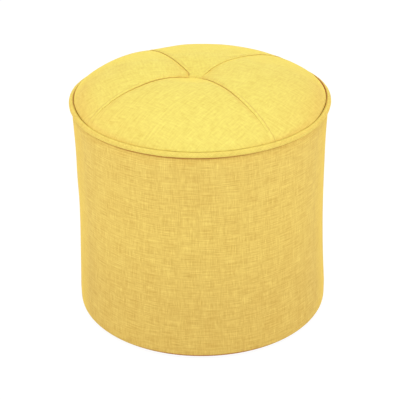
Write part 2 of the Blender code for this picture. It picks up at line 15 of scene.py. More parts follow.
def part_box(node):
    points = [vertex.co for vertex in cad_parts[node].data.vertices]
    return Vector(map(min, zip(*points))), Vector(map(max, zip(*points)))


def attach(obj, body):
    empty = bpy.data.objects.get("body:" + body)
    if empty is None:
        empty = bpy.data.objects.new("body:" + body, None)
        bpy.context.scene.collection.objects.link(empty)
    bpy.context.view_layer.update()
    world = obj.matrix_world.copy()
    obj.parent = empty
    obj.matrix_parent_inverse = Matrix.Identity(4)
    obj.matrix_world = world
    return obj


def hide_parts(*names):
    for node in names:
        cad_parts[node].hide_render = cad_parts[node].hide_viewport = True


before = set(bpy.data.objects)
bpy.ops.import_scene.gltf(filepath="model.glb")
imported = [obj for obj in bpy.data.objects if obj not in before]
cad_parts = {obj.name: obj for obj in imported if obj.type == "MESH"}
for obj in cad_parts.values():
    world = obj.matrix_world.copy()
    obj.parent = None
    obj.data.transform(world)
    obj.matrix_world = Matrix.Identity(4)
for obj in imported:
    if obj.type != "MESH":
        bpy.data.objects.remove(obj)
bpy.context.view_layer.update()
BODY = "root"

# Cover cloth, in the part's own sizes
FABRIC_THICKNESS = 0.0012
CLEARANCE = 0.0003
SEAM_GAP = 0.0003
HEM_DEPTH = 0.036
HEM_CORNER_RADIUS = 0.0050
ALLOWANCE_EASE = 0.0009
FOLD_RADIUS = 0.0016
FOLD_DRAW = 0.0004
STAND_OFF = CLEARANCE + FABRIC_THICKNESS

# Drum and foam wrap
WALL_OUTER = 0.1893
WRAP_INNER = WALL_OUTER + CLEARANCE
BOARD_RADIUS = 0.186
FOAM_OVERHANG = 0.0015
SEAT_FOAM_RADIUS = BOARD_RADIUS + FOAM_OVERHANG
ALLOWANCE_INNER = SEAT_FOAM_RADIUS + ALLOWANCE_EASE
WRAP_AT_FOOT = 0.0110
WRAP_AT_WAIST = 0.0053
WRAP_AT_SHOULDER = 0.0082
WRAP_AT_NECK = 0.0052
FOOT_HEIGHT = 0.0245
WAIST_HEIGHT = 0.2106
SHOULDER_DROP = 0.0175
SHOULDER_POWER = 2.2

# Piping
PIPING_CORD_RADIUS = 0.0024
PIPING_CORD_EASE = 0.0006
PIPING_RADIUS = PIPING_CORD_RADIUS + PIPING_CORD_EASE + FABRIC_THICKNESS
PIPING_OVERHANG = 0.0034

# Heights, read from the frame
HEM_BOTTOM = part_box("side_panel")[0].z
BOARD_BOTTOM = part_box("base_board")[0].z
DRUM_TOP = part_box("drum_wall")[1].z
CLOTH_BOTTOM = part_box("bottom_cloth")[0].z
SEAM_ABOVE_BOARD = 0.017
SEAM_HEIGHT = DRUM_TOP + SEAM_ABOVE_BOARD
PLY_OUTER = SEAM_GAP / 2 + FABRIC_THICKNESS
ALLOWANCE_FACE = PLY_OUTER + CLEARANCE
ALLOWANCE_BACK = ALLOWANCE_FACE + FABRIC_THICKNESS
RIM_RISE = 0.005
RIM_INSET = 0.0006
RIM_HEIGHT = SEAM_HEIGHT + RIM_RISE
NECK_HEIGHT = SEAM_HEIGHT - RIM_RISE - CLEARANCE
SHOULDER_HEIGHT = NECK_HEIGHT - SHOULDER_DROP
NECK_RADIUS = WRAP_INNER + WRAP_AT_NECK + STAND_OFF
RIM_RADIUS = NECK_RADIUS - RIM_INSET
PIPING_CENTRE = NECK_RADIUS + PIPING_OVERHANG
FOOT_RADIUS = WRAP_INNER + STAND_OFF + WRAP_AT_FOOT

# Crown
TUFT = np.array([-0.0072, 0.0053])
CROWN_RISE = 0.0449
CROWN_POWER = 2.4
CROWN_ROUND_POWER = 0.68
DIMPLE_DEPTH = 0.0152
DIMPLE_SHARE = 0.213
DIMPLE_POWER = 1.5
PUFF_HEIGHTS = {"front": 0.0035, "right": 0.0026, "back": -0.0010, "left": 0.0062}
PUFF_POWER = 0.8
GROOVE_DEPTH = 0.0018
GROOVE_WIDTH = 0.0050
TUFT_HOLE_RADIUS = 0.0007
HOLE_SHARE = TUFT_HOLE_RADIUS / RIM_RADIUS

# Padding
WADDING_THICKNESS = 0.006
WADDING_RIM_INSET = 0.0028
WADDING_DROP = 0.0018
WADDING_SEAM_SINK = 0.0030
WADDING_SEAM_SPREAD = 0.010
WADDING_EASE = 0.0008
WADDING_SEAM_SHARE = 0.11
FOAM_EDGE_HEIGHT = SEAM_HEIGHT + ALLOWANCE_BACK

# Seams of the crown, whose allowances are pressed under the panel that lies over
EDGE_ROLL = 0.0003
RIDGE_HEIGHT = 0.0008
RIDGE_WIDTH = 0.0054
RIDGE_FADE = 0.0016
STITCH_LINE = 0.0053
STITCH_SINK = 0.0006
STITCH_SPREAD = 0.0008
UNDER_DROP = 0.0003
UNDER_SPREAD = 0.0016
SEAM_FADE_POWER = 14
SEAM_BAND = 0.012
# Width at which a panel is wide enough for a full stitch line
FULL_WIDTH = 0.022
PUCKER_HEIGHT = 0.00022
PUCKER_LENGTH = 0.0105
PUCKER_REACH = 0.009
PLEAT_HEIGHT = 0.0001
PLEAT_COUNT = 18
PLEAT_SHARE = 0.11
LUMP_HEIGHT = 0.0005
# A pointed panel begins this share past its tip
TIP_START = 0.0012
# Beside a seam the cloth is lifted straight up, and from this far on square to the crown
LEAN_WIDTH = 0.006
# Seams change over this span, from how they are near the tuft to how they are near the rim
SEAM_CHANGE_START = 0.40
SEAM_CHANGE_SPAN = 0.35

# Departures of the cover from a true round
HEM_DROOP = 0.0005
HEM_CORNER_DROOP = 0.0007
HEM_CORNER_AZIMUTH = math.radians(-50)
REAR_SINK = 0.0026
REAR_SINK_TURN = 0.0560
FOOT_LEAN = 0.0005
# Where the side is fuller or slimmer: azimuth, height, reach up and down, and amount
SIDE_FILLS = (
    (math.radians(180), 0.23, 0.035, 0.0012),
    (math.radians(0), 0.31, 0.050, -0.0009),
)
RIM_OVERHANG = 0.0030
# Where the rim stands high or low: azimuth, width of the bell curve and lift
RIM_LIFTS = (
    (math.radians(180), 0.42, 0.0029),
    (math.radians(0), 0.42, 0.0021),
    (math.radians(40), 0.32, -0.0016),
    (math.radians(145), 0.30, -0.0014),
)
# Unevenness of the cloth: its height, and the counts of waves round the pouf
HEM_WAVE = (0.0004, (9, 14, 23))
NECK_GATHER = (0.00018, (97, 118, 131))
SIDE_DRIFT = (0.00035, (5, 7, 11))
PIPING_RIPPLE = (0.00012, (17, 29, 41))
PIPING_TWILL = (0.00004, 190)

# Azimuth at which each seam meets the rim
SEAM_AZIMUTHS = {
    "front_left": math.radians(-146.9),
    "front_right": math.radians(-58.7),
    "back_right": math.radians(41.2),
    "back_left": math.radians(118.9),
}
# Each seam's turn t on its way to the rim, and a and b in t (1 - s^a)^b at share s of the way
SEAM_TURNS = {
    "front_left": (math.radians(5.8), 2, 1),
    "front_right": (math.radians(-1.6), 2, 1),
    "back_right": (0, 2, 1),
    "back_left": (math.radians(-12.0), 1, 1.5),
}
# At the tuft the left panel's two seams meet in a tip, and so do the right panel's. A short seam
# between the tips joins the front panel to the back one.
# Each seam's tip: its share of the way to the rim, its azimuth and the reach of the bend to it.
SEAM_TIPS = {
    "front_left": (0.052, math.radians(197), 0.008),
    "front_right": (0.014, math.radians(-30), 0.060),
    "back_right": (0.014, math.radians(-30), 0.050),
    "back_left": (0.052, math.radians(197), 0.007),
}
# Painted shade in each seam near the tuft and near the rim, the same in its stitch line, and the
# share at which the seam's painted shade begins
SEAM_SHADES = {
    "front_left": (0.46, 0.00, 0.00, 0.36, 0.048),
    "front_right": (0.40, 0.00, 0.03, 0.42, 0.010),
    "back_right": (0.02, 0.28, 0.03, 0.06, 0.034),
    "back_left": (0.43, 0.64, 0.06, 0.02, 0.042),
}
# Widths of the painted shade along a seam and along its stitch line
SEAM_SHADE_WIDTH = 0.0008
STITCH_SHADE_WIDTH = 0.0006
# How fully each seam's edge stands, near the tuft and near the rim
SEAM_RELIEFS = {
    "front_left": (0.9, 0.2),
    "front_right": (0.8, 0.2),
    "back_right": (0.2, 0.9),
    "back_left": (1.0, 1.0),
}
# Where shade is painted in the fold at the rim: azimuth, width of the bell curve and strength
RIM_PAINTED_SHADES = ((math.radians(177), 0.38, 1.0), (math.radians(15), 0.50, 1.5))
# Width of the painted shade line along the rim
RIM_PAINTED_SHADE_WIDTH = 0.0008
# Angle round the piping's section where painted shade begins, and the angle over which it deepens
PIPING_PAINTED_SHADE = (math.radians(128), math.radians(24))
# Each panel's two seams, anticlockwise, whether it lies over there, and its grain's azimuth
PANELS = {
    "front": ("front_left", "front_right", False, False, math.radians(52)),
    "right": ("front_right", "back_right", True, False, math.radians(-28)),
    "back": ("back_right", "back_left", True, True, math.radians(8)),
    "left": ("back_left", "front_left", False, True, math.radians(14)),
}
SLEEVE_SEAM_AZIMUTH = math.radians(123.5)
SLEEVE_SEAM_DEPTH = 0.0007
SLEEVE_SEAM_WIDTH = 0.0014
# Painted shade in the sleeve's seam
SLEEVE_SEAM_SHADE = 0.55

# Stitches, twine, bottom cloth and staples
STITCH_PITCH = 0.0038
STITCH_LENGTH = 0.0031
STITCH_RADIUS = 0.00028
STITCH_SHARES = (0.09, 0.985)
STITCH_END_GAP = 0.002
STITCH_LIFT = 0.0001
STRAND_RADIUS = 0.0005
STRAND_APART = 0.00052
STRAND_PITCH = 0.0055
CROSS_RADIUS = 0.00055
CROSS_REACH = 0.0019
CROSS_SINK = 0.0006
CROSS_STEP = 0.0005
CROSS_BEND = 0.0003
KNOT_REACH = 0.0016
KNOT_HEIGHT = 0.0011
BOTTOM_EDGE = FOOT_RADIUS - HEM_DEPTH + 0.008
BOTTOM_TURN_UNDER = 0.012
BOTTOM_THICKNESS = 0.00025
BOTTOM_WRINKLE = 0.00008
# Height of the edge that is turned under, over the cloth's lower face
BOTTOM_TURNED_UP = 0.00062
STAPLE_COUNT = 44
STAPLE_WIDTH = 0.010
STAPLE_LEG = 0.005
STAPLE_WIRE = 0.0006
STAPLE_BEND = 0.0004
STAPLE_INSET = 0.006
STAPLE_DROP = 0.0004
STAPLE_DRAW = 0.0012

# Fineness of the surfaces
CROWN_ROWS = 128
EDGE_COLUMNS = 30
MIDDLE_COLUMNS = 66
RING_COLUMNS = 300
PAD_COLUMNS = 240
PIPING_COLUMNS = 420
PIPING_OUTER_STEPS = 34
PIPING_INNER_STEPS = 20
CORD_COLUMNS = 540
CORD_SIDES = 18
FOLD_ROWS = 7
# Below the neck the sleeve's rows are finer for this far, and its flat rows are this far apart
NECK_BAND = 0.009
FLAT_SPACING = 0.0029
BOTTOM_COLUMNS = 264
BOTTOM_RINGS = 70

# Cloth's weave: yarn pitch, and slubs to the metre across a yarn, along a warp and along a weft
YARN_PITCH = 0.0009
SLUB_RATES = (640.0, 56.0, 32.0)
BAND_RATES = (150, 9, 1)
# Share of the light yarn's colour where the cloth is seen edge on: a painted rim light
EDGE_PAINTED_LIGHT = 0.7
# Colour of the painted shade in folds, seams, under the piping and at the hem's corner
PAINTED_SHADE_COLOUR = (0.42, 0.130, 0.030, 1)
# Painted shade where the crown's cloth turns to its sides
ASIDE_SHADE_TINT = (0.96, 0.84, 0.84, 1)
# Painted shade towards the floor
LOW_SHADE_TINT = (0.935, 0.91, 0.925, 1)
SHEEN_TINT = (1.0, 0.74, 0.28, 1)
PLY_PAIR = 0.0028

# Camera, fitted to the photograph's 400 x 400 pixels
FRAME_PIXELS = 400
SENSOR = 0.036
FOCAL_PIXELS = 1346.32
OPTICAL_CENTRE = (201.31, 198.36)
CAMERA_DISTANCE = 2.1816
CAMERA_ELEVATION = math.radians(28.083)
CAMERA_ROLL = math.radians(-0.705)
CAMERA_PIVOT = Vector((0, 0, 0.1767))

# Light: each softbox's place, width and power, and what they look at
SOFTBOXES = {
    "softbox_front": ((0, -2.0, 2.2), 1.8, 19),
    "softbox_left": ((-2.3, -0.9, 0.9), 1.8, 17),
    "softbox_right": ((2.3, -0.9, 0.9), 1.8, 17),
    "softbox_back": ((0, 1.2, 2.4), 1.6, 14),
}
SOFTBOX_TARGET = (0, 0, 0.2)
WORLD_STRENGTH = 0.675
FLOOR_REACH = 12


# Mesh helpers


def add_object(name, data):
    """An object in the scene that holds the data."""
    made = bpy.data.objects.new(name, data)
    bpy.context.scene.collection.objects.link(made)
    return made


def grid_faces(rows, columns, wrap_rows, wrap_columns, flip):
    """Quads of a grid, as vertex numbers, and the unwrapped row and column of each corner."""
    row, column = np.meshgrid(
        np.arange(rows - (not wrap_rows)), np.arange(columns - (not wrap_columns)), indexing="ij"
    )
    row, column = row.ravel(), column.ravel()
    corner_row = np.stack([row, row, row + 1, row + 1], 1)
    corner_column = np.stack([column, column + 1, column + 1, column], 1)
    if flip:
        corner_row, corner_column = corner_row[:, ::-1], corner_column[:, ::-1]
    vertex = (corner_row % rows) * columns + corner_column % columns
    return vertex, corner_row, corner_column


def solid_from(name, points, faces):
    """A piece from arrays of points and quads."""
    sides = faces.shape[1]
    mesh = bpy.data.meshes.new(name)
    mesh.vertices.add(len(points))
    mesh.vertices.foreach_set("co", points.astype(np.float32).ravel())
    mesh.loops.add(faces.size)
    mesh.loops.foreach_set("vertex_index", faces.astype(np.int32).ravel())
    mesh.polygons.add(len(faces))
    mesh.polygons.foreach_set("loop_start", np.arange(0, faces.size, sides, dtype=np.int32))
    mesh.update(calc_edges=True)
    mesh.validate()
    mesh.shade_smooth()
    return add_object(name, mesh)


def grid_piece(name, points, cloth=None, painted_shade_mask=None, wrap=(False, False), flip=False):
    """A piece from a grid of points (rows, columns, 3), with its map in metres of cloth and its
    painted shade mask from 0 to 1, which darkens the colour where shade is painted.

    A wrapped direction closes on itself; cloth then has one row or column more than points.
    """
    faces, corner_row, corner_column = grid_faces(*points.shape[:2], *wrap, flip)
    piece = solid_from(name, points.reshape(-1, 3), faces)
    if cloth is not None:
        layer = piece.data.uv_layers.new(name="cloth")
        places = cloth[corner_row, corner_column]
        layer.uv.foreach_set("vector", places.astype(np.float32).ravel())
    if painted_shade_mask is not None:
        # The painted shade mask, which the cover's material reads
        layer = piece.data.attributes.new("painted_shade_mask", "FLOAT", "POINT")
        layer.data.foreach_set("value", painted_shade_mask.astype(np.float32).ravel())
    return piece


def add_thickness(piece, thickness):
    """Gives a cloth surface its thickness, on its inner side."""
    solid = piece.modifiers.new("thickness", "SOLIDIFY")
    solid.thickness = thickness
    solid.offset = -1


def finish_piece(piece, surface, nodes=()):
    """Gives a piece its material and its body, and hides the nodes it stands for."""
    piece.data.materials.append(surface)
    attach(piece, BODY)
    if nodes:
        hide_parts(*nodes)
    return piece


# Shape helpers


def smooth_step(value):
    """0 below 0, 1 above 1, and 3t squared less 2t cubed between."""
    t = np.clip(value, 0, 1)
    return t * t * (3 - 2 * t)


def bell(distance, width):
    """A bell curve exp(-(d / w)^2)."""
    return np.exp(-((distance / width) ** 2))


def bell_round(azimuth, middle, width):
    """A bell curve of azimuth about a middle, which closes on itself round the pouf."""
    return bell(2 * np.sin((azimuth - middle) / 2), width)


def waves(azimuth, counts, seed):
    """A sum of cosines of whole counts round the pouf, each with its own phase, from -1 to 1."""
    phases = np.random.default_rng(seed).uniform(0, math.tau, len(counts))
    return sum(np.cos(n * azimuth + p) for n, p in zip(counts, phases)) / len(counts)


def uneven(azimuth, wave, seed):
    """Unevenness of the cloth round the pouf, from its height and its counts of waves."""
    height, counts = wave
    return height * waves(azimuth, counts, seed)


def unit(vectors):
    """Vectors brought to length 1."""
    return vectors / np.linalg.norm(vectors, axis=-1, keepdims=True)


def ring_points(radius, height, azimuth):
    """Points (radius cos a, radius sin a, height), for arrays that broadcast together."""
    radius, height, azimuth = np.broadcast_arrays(radius, height, azimuth)
    return np.stack([radius * np.cos(azimuth), radius * np.sin(azimuth), height], -1)


def plan_points(share, radius, azimuth):
    """Plan points at a share of the straight way from the tuft to a rim."""
    rim = np.asarray(radius)[..., None] * np.stack([np.cos(azimuth), np.sin(azimuth)], -1)
    return TUFT + (rim - TUFT) * share[..., None]


def surface_normals(points):
    """Unit normals of a grid: the cross product of its steps along rows and along columns."""
    normal = np.cross(np.gradient(points, axis=0), np.gradient(points, axis=1))
    return normal / np.maximum(np.linalg.norm(normal, axis=-1, keepdims=True), 1e-12)


def path_length(points):
    """Distance run along a line of points, or down each column of a grid."""
    steps = np.linalg.norm(np.diff(points, axis=0), axis=-1)
    return np.concatenate([np.zeros((1, *steps.shape[1:])), np.cumsum(steps, axis=0)])


def arc_places(radius, first, last, steps, centre):
    """Points (x, z) on an arc about a centre: centre + radius (cos a, sin a)."""
    angle = np.linspace(first, last, steps + 1)
    return np.stack([centre[0] + radius * np.cos(angle), centre[1] + radius * np.sin(angle)], 1)


def read_at(at, along, line):
    """A line's points at distances along it."""
    return np.stack([np.interp(at, along, values) for values in line.T], 1)


def resample(line, spacing):
    """The same line with points evenly spaced along it, about spacing apart."""
    along = path_length(line)
    count = max(2, int(round(along[-1] / spacing)) + 1)
    return read_at(np.linspace(0, along[-1], count), along, line)


def settled_by(points, share):
    """Points moved by a share of their way to where settle puts them."""
    return points + (settle(points) - points) * share


def azimuths_from_seam(count):
    """Even azimuths round the pouf, from the sleeve's seam."""
    return SLEEVE_SEAM_AZIMUTH + math.tau * np.arange(count) / count


# Crown surface


def dome_profile(share, base, rise):
    """Base plus rise (1 - s^2.4)^0.68 less the tuft's dimple exp(-(s / 0.213)^1.5), at share s of
    the way to the rim."""
    dome = rise * (1 - share**CROWN_POWER) ** CROWN_ROUND_POWER
    return base + dome - DIMPLE_DEPTH * np.exp(-((share / DIMPLE_SHARE) ** DIMPLE_POWER))


def dome_height(share):
    """The crown's height at a share of the way to the rim."""
    return dome_profile(share, RIM_HEIGHT, CROWN_RISE)


def foam_height(share):
    """The foam's dome: as the crown's, but lower by the wadding's thickness."""
    rise = RIM_HEIGHT + CROWN_RISE - STAND_OFF - WADDING_THICKNESS - CLEARANCE - FOAM_EDGE_HEIGHT
    return dome_profile(share, FOAM_EDGE_HEIGHT, rise)


def across_places(width):
    """Distances from a panel's first seam: dense in a band along each seam, even between.

    width holds the panel's width in each row, and the result has a column for each place.
    """
    band = np.minimum(SEAM_BAND, 0.36 * width)[:, None]
    near = band * np.linspace(0, 1, EDGE_COLUMNS) ** 1.5
    middle = np.linspace(0, 1, MIDDLE_COLUMNS)[1:-1]
    between = band + (width[:, None] - 2 * band) * middle
    return np.hstack([near, between, width[:, None] - near[:, ::-1]])


def lumps(points):
    """Soft unevenness of the filling: three crossed waves 60 to 110 mm long, from -1 to 1."""
    x, y = points[..., 0], points[..., 1]
    first = np.sin(71 * x + 43 * y + 0.6) * np.sin(-38 * x + 64 * y + 1.9)
    second = np.sin(97 * x - 22 * y + 2.2) * np.sin(29 * x + 88 * y + 0.3)
    return (first + 0.6 * second) / 1.6


def seam_azimuth(name, share):
    """A seam's azimuth at share s of the way to the rim: its azimuth there less t (1 - s^a)^b,
    drawn to its tip's azimuth by exp(-(s - tip share) / reach)."""
    tip_share, tip_azimuth, reach = SEAM_TIPS[name]
    turn, bend, fade = SEAM_TURNS[name]
    outer = SEAM_AZIMUTHS[name] - turn * (1 - share**bend) ** fade
    towards = (tip_azimuth - outer + math.pi) % math.tau - math.pi
    return outer + towards * np.exp(-np.clip(share - tip_share, 0, None) / reach)


def panel_span(side, share):
    """Azimuth of a panel's first seam and the sweep to its second, at share s of the way."""
    start = seam_azimuth(PANELS[side][0], share)
    return start, (seam_azimuth(PANELS[side][1], share) - start) % math.tau


def crown_base(side, share, radius, drop, straight_share=0.0):
    """The dome with a panel's puff and the groove along its seams, as rows from tuft to rim.

    The plan point runs straight from the tuft to the rim. Height is dome_height(s) plus
    4 s (1 - s) puff sin(pi u)^0.8 less groove exp(-(d / w)^2) (1 - s^2.4), where u is the share
    across the panel and d the distance from its nearer seam, less the drop. Nearer the tuft than
    the straight share, the seams run straight on to it.
    """
    start, sweep = panel_span(side, np.maximum(share, straight_share))
    width = share * RIM_RADIUS * sweep
    across = across_places(width)
    apart = np.minimum(across, width[:, None] - across).clip(0)
    across_share = across / width[:, None]
    share = share[:, None]
    azimuth = start[:, None] + sweep[:, None] * across_share
    plan = plan_points(share, radius[:, None], azimuth)
    sine = np.sin(math.pi * across_share).clip(0)
    height = dome_height(share) + PUFF_HEIGHTS[side] * 4 * share * (1 - share) * sine**PUFF_POWER
    height = height - GROOVE_DEPTH * bell(apart, GROOVE_WIDTH) * (1 - share**CROWN_POWER)
    return np.dstack([plan, height - drop]), across, apart, azimuth


def seam_profile(apart, over, relief):
    """Lift beside a seam: the edge rolls down through a quarter round, and the panel that lies over
    has a ridge as wide as its allowances, with the stitch line sunk near its outer edge. Both
    panels end at one depth, where they are sewn together."""
    turn = np.clip(1 - apart / EDGE_ROLL, 0, 1)
    lift = -relief * EDGE_ROLL * (1 - np.sqrt(1 - turn**2))
    if over:
        lift = lift + RIDGE_HEIGHT * (1 - smooth_step((apart - RIDGE_WIDTH) / RIDGE_FADE))
        lift = lift - STITCH_SINK * bell(apart - STITCH_LINE, STITCH_SPREAD)
        return np.where(apart > 0, lift, -relief * (EDGE_ROLL + UNDER_DROP))
    return lift - relief * UNDER_DROP * bell(apart, UNDER_SPREAD)


def outwards_share(share):
    """0 near the tuft and 1 near the rim, where a seam's values for each of them hold."""
    return smooth_step((share - SEAM_CHANGE_START) / SEAM_CHANGE_SPAN)[:, None]


def panel_seams(side, across, width):
    """Each of a panel's seams: its name, whether the panel lies over there, and the distance."""
    return zip(PANELS[side][:2], PANELS[side][2:4], (across, width[:, None] - across))


def seam_shapes(side, share, across, width):
    """Lift of both of a panel's seams over its whole grid."""
    outwards = outwards_share(share)
    lifts = []
    for name, over, apart in panel_seams(side, across, width):
        near, outer = SEAM_RELIEFS[name]
        lifts.append(seam_profile(apart, over, near + (outer - near) * outwards))
    lift = np.where(across < width[:, None] - across, *lifts)
    fade = smooth_step((share - 0.03) / 0.09) * (1 - share**SEAM_FADE_POWER)
    return lift * fade[:, None]


def seam_painted_shade(side, share, across, width):
    """Painted shade from 0 to 1 in both seams, and in the stitch line of the panel that lies over:
    a bell curve of the distance, times a strength that changes from the tuft to the rim."""
    outwards = outwards_share(share)
    wide_enough = smooth_step(width / FULL_WIDTH)[:, None]
    mask = np.zeros_like(across)
    for name, over, apart in panel_seams(side, across, width):
        near, outer, stitch_near, stitch_outer, begins = SEAM_SHADES[name]
        strength = near + (outer - near) * outwards
        strength = strength * smooth_step((share - begins) / 0.01)[:, None]
        mask = np.maximum(mask, strength * bell(apart, SEAM_SHADE_WIDTH * (1 + outwards)))
        if over:
            strength = (stitch_near + (stitch_outer - stitch_near) * outwards) * wide_enough
            mask = np.maximum(mask, strength * bell(apart - STITCH_LINE, STITCH_SHADE_WIDTH))
    return mask


def puckers(share, apart, azimuth):
    """Small gathers square to a seam, which die out away from it, and pleats round the tuft."""
    along = share[:, None] * RIM_RADIUS
    ripple = np.cos(math.tau * along / PUCKER_LENGTH + 3 * np.sin(along * 95))
    gather = PUCKER_HEIGHT * ripple * np.exp(-apart / PUCKER_REACH)
    pleat = np.cos(PLEAT_COUNT * azimuth + 2 * np.sin(3 * azimuth)) - 1
    near_tuft = bell(share[:, None], PLEAT_SHARE) * smooth_step(share[:, None] / 0.05)
    return gather + PLEAT_HEIGHT * pleat * near_tuft


def crown_shares(rows, first=HOLE_SHARE):
    """Shares from the first, the tuft's hole or a panel's tip, to the rim, closer at both ends."""
    t = np.linspace(0, 1, rows)
    eased = 0.35 * t + 0.65 * (1 - np.cos(math.pi * t)) / 2
    return first + (1 - first) * eased


def settle(points):
    """The hand-made cover's small departures from a true round, for any of its points.

    The rim stands high at the left and right and low behind them, each by a bell curve of azimuth.
    The foot leans to the right, the hem hangs a little low at the front right, the side is fuller
    or slimmer in places, and the crown sinks beside the rear left seam's end.
    """
    x, y, z = np.moveaxis(points, -1, 0)
    radius, azimuth = np.hypot(x, y), np.arctan2(y, x)
    on_rim = smooth_step((z - 0.31) / 0.035) * smooth_step((radius - 0.12) / 0.07)
    lift = on_rim * sum(rise * bell_round(azimuth, *place) for *place, rise in RIM_LIFTS)
    hem = np.exp(-(z - HEM_BOTTOM) / 0.02) * smooth_step((radius - 0.188) / 0.008)
    corner = HEM_CORNER_DROOP * bell_round(azimuth, HEM_CORNER_AZIMUTH, 0.5)
    lift = lift - (HEM_DROOP + corner) * hem
    sunk = bell_round(azimuth, SEAM_AZIMUTHS["back_left"] - REAR_SINK_TURN, 0.20)
    sunk = sunk * smooth_step((radius - 0.06) / 0.09)
    lift = lift - REAR_SINK * sunk * smooth_step((z - 0.350) / 0.02)
    fuller = sum(
        amount * bell_round(azimuth, middle, 0.6) * bell(z - height, reach)
        for middle, height, reach, amount in SIDE_FILLS
    )
    lean = FOOT_LEAN * (1 - smooth_step((z - HEM_BOTTOM) / 0.09))
    outwards = 1 + fuller / np.maximum(radius, 0.01)
    return np.stack([x * outwards + lean, y * outwards, z + lift], -1)


def rim_fold(azimuth, pressed):
    """Rows that turn a panel's rim in over the piping's flange: a quarter round, then flat.

    Where the rim is pressed on the piping, by a share from 0 to 1, the rows lie round the piping.
    """
    face = SEAM_HEIGHT + ALLOWANCE_FACE
    angle = np.linspace(0, math.pi / 2, FOLD_ROWS)[:, None]
    radius = RIM_RADIUS - FOLD_DRAW - FOLD_RADIUS * (1 - np.cos(angle))
    height = face + FOLD_RADIUS * (1 - np.sin(angle))
    reach = PIPING_RADIUS + CLEARANCE
    first = math.acos((RIM_RADIUS + RIM_OVERHANG - PIPING_CENTRE) / reach)
    last = math.pi - math.asin(ALLOWANCE_FACE / reach)
    round_piping = np.linspace(first, last, FOLD_ROWS)[:, None]
    radius = radius + pressed * (PIPING_CENTRE + reach * np.cos(round_piping) - radius)
    height = height + pressed * (SEAM_HEIGHT + reach * np.sin(round_piping) - height)
    inwards = np.linspace(0, 1, 4)[1:, None]
    radius = np.vstack([radius, radius[-1:] + (ALLOWANCE_INNER - radius[-1:]) * inwards])
    height = np.vstack([height, height[-1:] + (face - height[-1:]) * inwards])
    return ring_points(radius, height, azimuth[None])


def front_share(azimuth):
    """1 where the rim faces the front, 0 from the sides round the back."""
    return smooth_step((-np.sin(azimuth) - 0.28) / 0.40)


def panel_cloth(side, points):
    """Cloth places of a panel: distance run from the tuft along each column, laid out by azimuth
    and turned to the panel's grain."""
    run = path_length(points)
    plan = points[..., :2] - TUFT
    azimuth = np.arctan2(plan[..., 1], plan[..., 0]) - PANELS[side][4]
    return np.stack([run * np.cos(azimuth), run * np.sin(azimuth)], -1)


def rim_painted_shade(azimuth):
    """How strong the painted shade at the rim is: a bell curve at the left and another at the
    right, and 0 away from them."""
    bells = [dark * bell_round(azimuth, middle, width) for middle, width, dark in RIM_PAINTED_SHADES]
    return np.max(bells, axis=0)


def panel_painted_shade(side, share, across, azimuth, pressed, turned_in):
    """A panel's painted shade: in its seams, at its rim and on the rows turned in under the rim."""
    painted_shade_mask = seam_painted_shade(side, share, across, across[:, -1])
    # Painted shade along the rim, and on the rows turned in under it
    at_rim = bell((1 - share[:, None]) * RIM_RADIUS, RIM_PAINTED_SHADE_WIDTH)
    painted_shade_mask = np.maximum(painted_shade_mask, 0.42 * at_rim * rim_painted_shade(azimuth))
    dark = rim_painted_shade(azimuth[-1:])
    in_fold = smooth_step((np.arange(turned_in)[:, None] - 2) / 3) * (1 - pressed)
    in_fold = in_fold * (0.3 + 0.4 * dark)
    return np.vstack([painted_shade_mask, np.maximum(painted_shade_mask[-1:], np.maximum(in_fold, 0.5 * dark))])


def make_top_panel(side):
    """A quarter of the crown, from the tuft's hole to the allowance under its rim."""
    pointed = side in ("left", "right")
    tip_share = SEAM_TIPS[PANELS[side][0]][0] + TIP_START
    share = crown_shares(CROWN_ROWS, tip_share if pointed else HOLE_SHARE)
    base, across, apart, azimuth = crown_base(side, share, np.full_like(share, RIM_RADIUS), 0)
    overhang = RIM_OVERHANG * front_share(azimuth) * smooth_step((share[:, None] - 0.93) / 0.06)
    base = base + ring_points(overhang, 0, azimuth)
    lift = seam_shapes(side, share, across, across[:, -1]) + puckers(share, apart, azimuth)
    fade = 1 - share[:, None] ** 10
    lift = lift + LUMP_HEIGHT * lumps(base) * fade * smooth_step(share[:, None] / 0.25)
    upright = np.array([0.0, 0.0, 1.0])
    lean = smooth_step(apart / LEAN_WIDTH)[..., None]
    outwards = upright + (surface_normals(base) - upright) * lean
    points = base + outwards * (lift * fade)[..., None]
    pressed = front_share(azimuth[-1:])
    fold = rim_fold(azimuth[-1], pressed)
    points = settle(np.vstack([points, fold]))
    # The panel's painted shade mask
    painted_shade_mask = panel_painted_shade(side, share, across, azimuth, pressed, len(fold))
    cloth = panel_cloth(side, points)
    panel = grid_piece(f"top_panel_{side}_cloth", points, cloth, painted_shade_mask, flip=True)
    add_thickness(panel, FABRIC_THICKNESS)
    return panel


# Sleeve


def wrap_thickness(height):
    """Foam wrap's thickness at a height: parabolas from foot to waist and from waist to shoulder,
    then a power curve in to the neck."""
    waist = HEM_BOTTOM + WAIST_HEIGHT
    foot = HEM_BOTTOM + FOOT_HEIGHT
    drop = (height - waist) / (foot - waist)
    below = WRAP_AT_WAIST + (WRAP_AT_FOOT - WRAP_AT_WAIST) * drop**2
    rise = np.clip((height - waist) / (SHOULDER_HEIGHT - waist), 0, None)
    above = WRAP_AT_WAIST + (WRAP_AT_SHOULDER - WRAP_AT_WAIST) * rise**2
    draw = np.clip((height - SHOULDER_HEIGHT) / (NECK_HEIGHT - SHOULDER_HEIGHT), 0, 1)
    neck = WRAP_AT_SHOULDER + (WRAP_AT_NECK - WRAP_AT_SHOULDER) * draw**SHOULDER_POWER
    side = np.where(height < waist, np.where(height < foot, WRAP_AT_FOOT, below), above)
    return np.where(height > SHOULDER_HEIGHT, neck, side)


